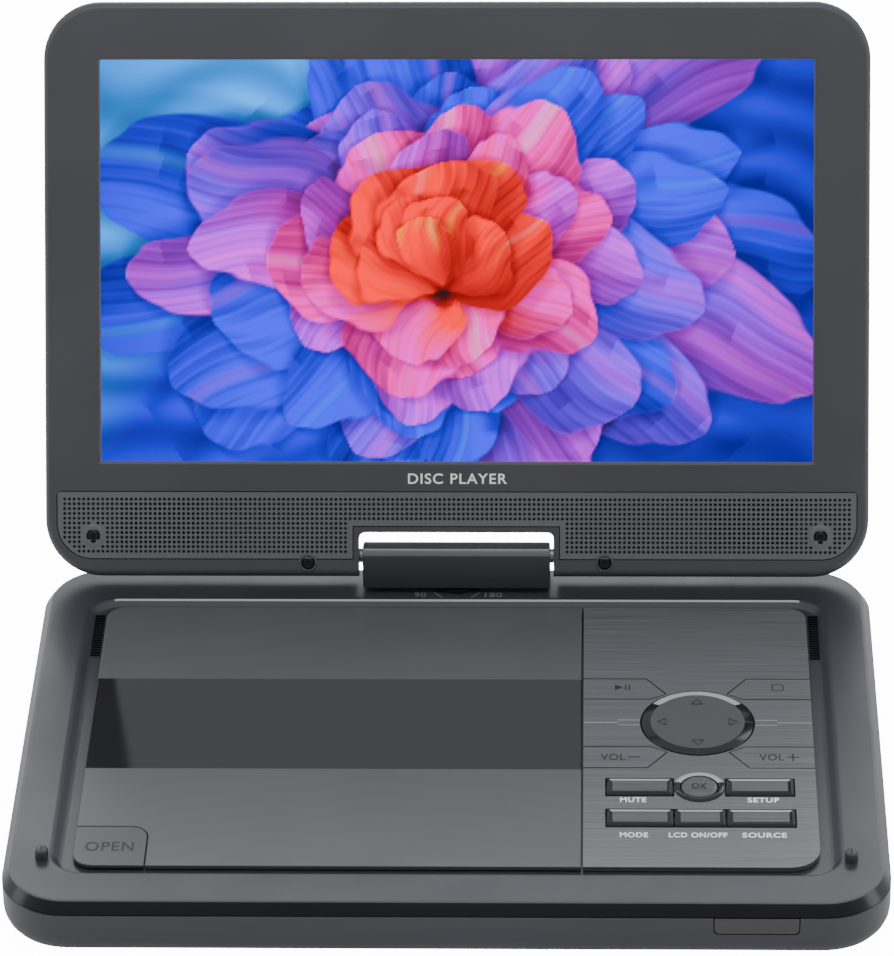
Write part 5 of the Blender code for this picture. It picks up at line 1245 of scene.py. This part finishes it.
def printed_on_lid(name, words, u, v, width, height, material):
    """Words set flat, then leaned back onto the lid's face."""
    label = printed(name, words, (u, v), width, height, material, "lid", 0.0)
    flat = np.empty(len(label.data.vertices) * 3)
    label.data.vertices.foreach_get("co", flat)
    flat = flat.reshape(-1, 3) / MM
    label.data.vertices.foreach_set("co", (on_lid(flat[:, :2], FACE + PRINT_RISE) * MM).ravel())


printed_on_lid("lid_label", "DISC PLAYER", 0.4, 24.6, 31.0, 3.3, print_white)

# ---------------------------------------------------------------------------------------------
# Infrared window, connectors and power switch: smoked acrylic in the front wall, nickelled shells
# with a pale tongue and gilt contacts in the right-hand wall, and a ribbed slide.
CONTACT_PITCH = 2.4
SWITCH_RIB_PITCH = 0.9
smoked = moulded("smoked_acrylic", (0.030, 0.024, 0.022), 0.12, 0.0, 0.02, 0.3)
nickel = moulded("nickelled_shell", (0.52, 0.51, 0.48), 0.28, 0.05, 0.08, metallic=0.95)
jack_black = moulded("jack_nylon", (0.018, 0.018, 0.019), 0.5, 0.1, 0.05)
contact_gold = moulded("contact_gold", (0.72, 0.50, 0.20), 0.3, 0.0, 0.05, metallic=0.95)
pane = window_prism(0.0, WINDOW_FACE + 0.05, WINDOW_FACE + 1.6, WINDOW_HIGH[2])
window = piece("smoked_window_pane", *pane, smoked, "base", "smoked_window")
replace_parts(window, "infrared_window")
dress(("usb_port", "card_slot"), nickel)
dress(("dc_jack", "headphone_jack", "power_switch"), jack_black)
usb_low, usb_high = node_span("usb_port")
usb_y, usb_z = (usb_low[1:] + usb_high[1:]) / 2
usb_face = usb_high[0]
tongue = block(usb_face - 10.0, usb_face - 1.4, usb_y - 5.0, usb_y + 5.0, usb_z + 0.2, usb_z + 1.6)
piece("usb_tongue", *tongue, print_white, "base", "inner_plastic")
for number in range(4):
    y = usb_y + (number - 1.5) * CONTACT_PITCH
    contact = block(usb_face - 8.5, usb_face - 1.8, y - 0.5, y + 0.5, usb_z + 0.08, usb_z + 0.22)
    piece(f"usb_contact_{number + 1}", *contact, contact_gold, "base", "steel")
for number in range(4):
    y = switch_low[1] + 0.8 + number * SWITCH_RIB_PITCH
    rib = block(switch_high[0] - 0.3, switch_high[0] + 0.25, y, y + 0.4, switch_low[2] + 0.3,
                switch_high[2] - 0.3)
    piece(f"switch_rib_{number + 1}", *rib, jack_black, "power_switch", "inner_plastic")

# ---------------------------------------------------------------------------------------------
# Disc drive: the hub on its motor in the middle of the well, and the pickup that slides along two
# polished rails, with its lens in a brass-coloured holder.
CATCH_REACH = 5.6
steel = moulded("ground_steel", (0.50, 0.50, 0.51), 0.22, 0.02, 0.06, metallic=1.0)
drive_black = moulded("drive_nylon", (0.028, 0.028, 0.03), 0.45, 0.1, 0.05)
hub_white = moulded("hub_nylon", (0.10, 0.10, 0.105), 0.38, 0.02, 0.04)
dress(("guide_rail_left", "guide_rail_right", "lead_screw", "spindle_motor", "sled_motor", "hinge_pin_left",
       "hinge_pin_right"), steel)
dress(("loader_chassis", "pickup"), drive_black)
dress(("turntable_hub",), hub_white)
hub_top = HUB_HIGH[2]
for number in range(3):
    turn = 2 * math.pi * number / 3 + 0.5
    x, y = HUB_MIDDLE[0] + CATCH_REACH * math.cos(turn), HUB_MIDDLE[1] + CATCH_REACH * math.sin(turn)
    ball = turned_rings(x, y, [(1.5, hub_top - 1.8), (1.5, hub_top - 1.0), (1.1, hub_top - 0.5),
                               (0.5, hub_top - 0.25)], 6)
    piece(f"hub_catch_{number + 1}", *carried(ball), steel, "turntable", "steel")
PICKUP_LOW, PICKUP_HIGH = node_span("pickup")
lens_x, lens_y = HUB_MIDDLE[0], (PICKUP_LOW[1] + PICKUP_HIGH[1]) / 2
lens_top = PICKUP_HIGH[2]
holder = turned_rings(lens_x, lens_y, [(3.9, lens_top), (3.9, lens_top + 0.25), (3.5, lens_top + 0.35),
                                       (2.7, lens_top + 0.35), (2.6, lens_top + 0.05)], 12)
piece("lens_holder", *carried(holder, "open"), contact_gold, "pickup", "inner_plastic")
lens_glass, nodes, links, shader = node_material("lens_glass")
shader.inputs["Base Color"].default_value = (0.02, 0.03, 0.08, 1.0)
shader.inputs["Roughness"].default_value = 0.05
lens = turned_rings(lens_x, lens_y, [(2.6, lens_top + 0.06), (2.1, lens_top + 0.3), (1.3, lens_top + 0.42),
                                     (0.4, lens_top + 0.46)], 12)
piece("lens", *carried(lens), lens_glass, "pickup", "screen_glass")

# ---------------------------------------------------------------------------------------------
# Inside pieces: green circuit boards, a wrapped battery, the grey key mat, the lamp tray behind the
# screen, two speakers, and the steel of the neck.
circuit = moulded("circuit_green", (0.012, 0.085, 0.035), 0.35, 0.1, 0.05, 0.3)
wrap = moulded("battery_wrap", (0.02, 0.06, 0.22), 0.3, 0.02, 0.05)
silicone = moulded("grey_silicone", (0.24, 0.24, 0.24), 0.6, 0.1, 0.05)
tray_white = moulded("lamp_tray", (0.62, 0.62, 0.60), 0.5, 0.05, 0.04)
cone_black = moulded("speaker_cone", (0.02, 0.02, 0.021), 0.7, 0.3, 0.05)
dress(("main_board", "key_board", "screen_board"), circuit)
dress(("battery_pack",), wrap)
dress(("key_mat",), silicone)
dress(("pad_gimbal",), drive_black)
dress(("backlight_tray",), tray_white)
dress(("speaker_left", "speaker_right"), cone_black)
dress(("hinge_bracket_left", "hinge_bracket_right", "swivel_post", "swivel_retainer"), screw_steel)

# ---------------------------------------------------------------------------------------------
# Underside: six countersunk screws that hold the lower shell to the upper one, and a plain rating
# panel sunk between them.
SHELL_SCREWS = ((-112.0, -56.0), (112.0, -56.0), (-112.0, 60.0), (112.0, 60.0), (0.0, -78.0), (0.0, 78.0))
for number, (x, y) in enumerate(SHELL_SCREWS):
    head = turned_rings(x, deck_y(y), [(2.6, SHELL_BOTTOM + 1.0), (2.6, SHELL_BOTTOM - 0.02),
                                       (2.3, SHELL_BOTTOM - 0.06), (0.7, SHELL_BOTTOM - 0.06),
                                       (0.5, SHELL_BOTTOM + 0.5)], 8)
    piece(f"shell_screw_{number + 1}", *carried(head), screw_steel, "base", "black_steel")
panel_outline = rounded_ring(-40.0, 40.0, deck_y(-18.0), deck_y(22.0), 3.0, 6)
plate("rating_panel", panel_outline[::-1], SHELL_BOTTOM - 0.04, SHELL_BOTTOM + 0.1, smoked, "base",
      "satin_black_plastic", 0.02)
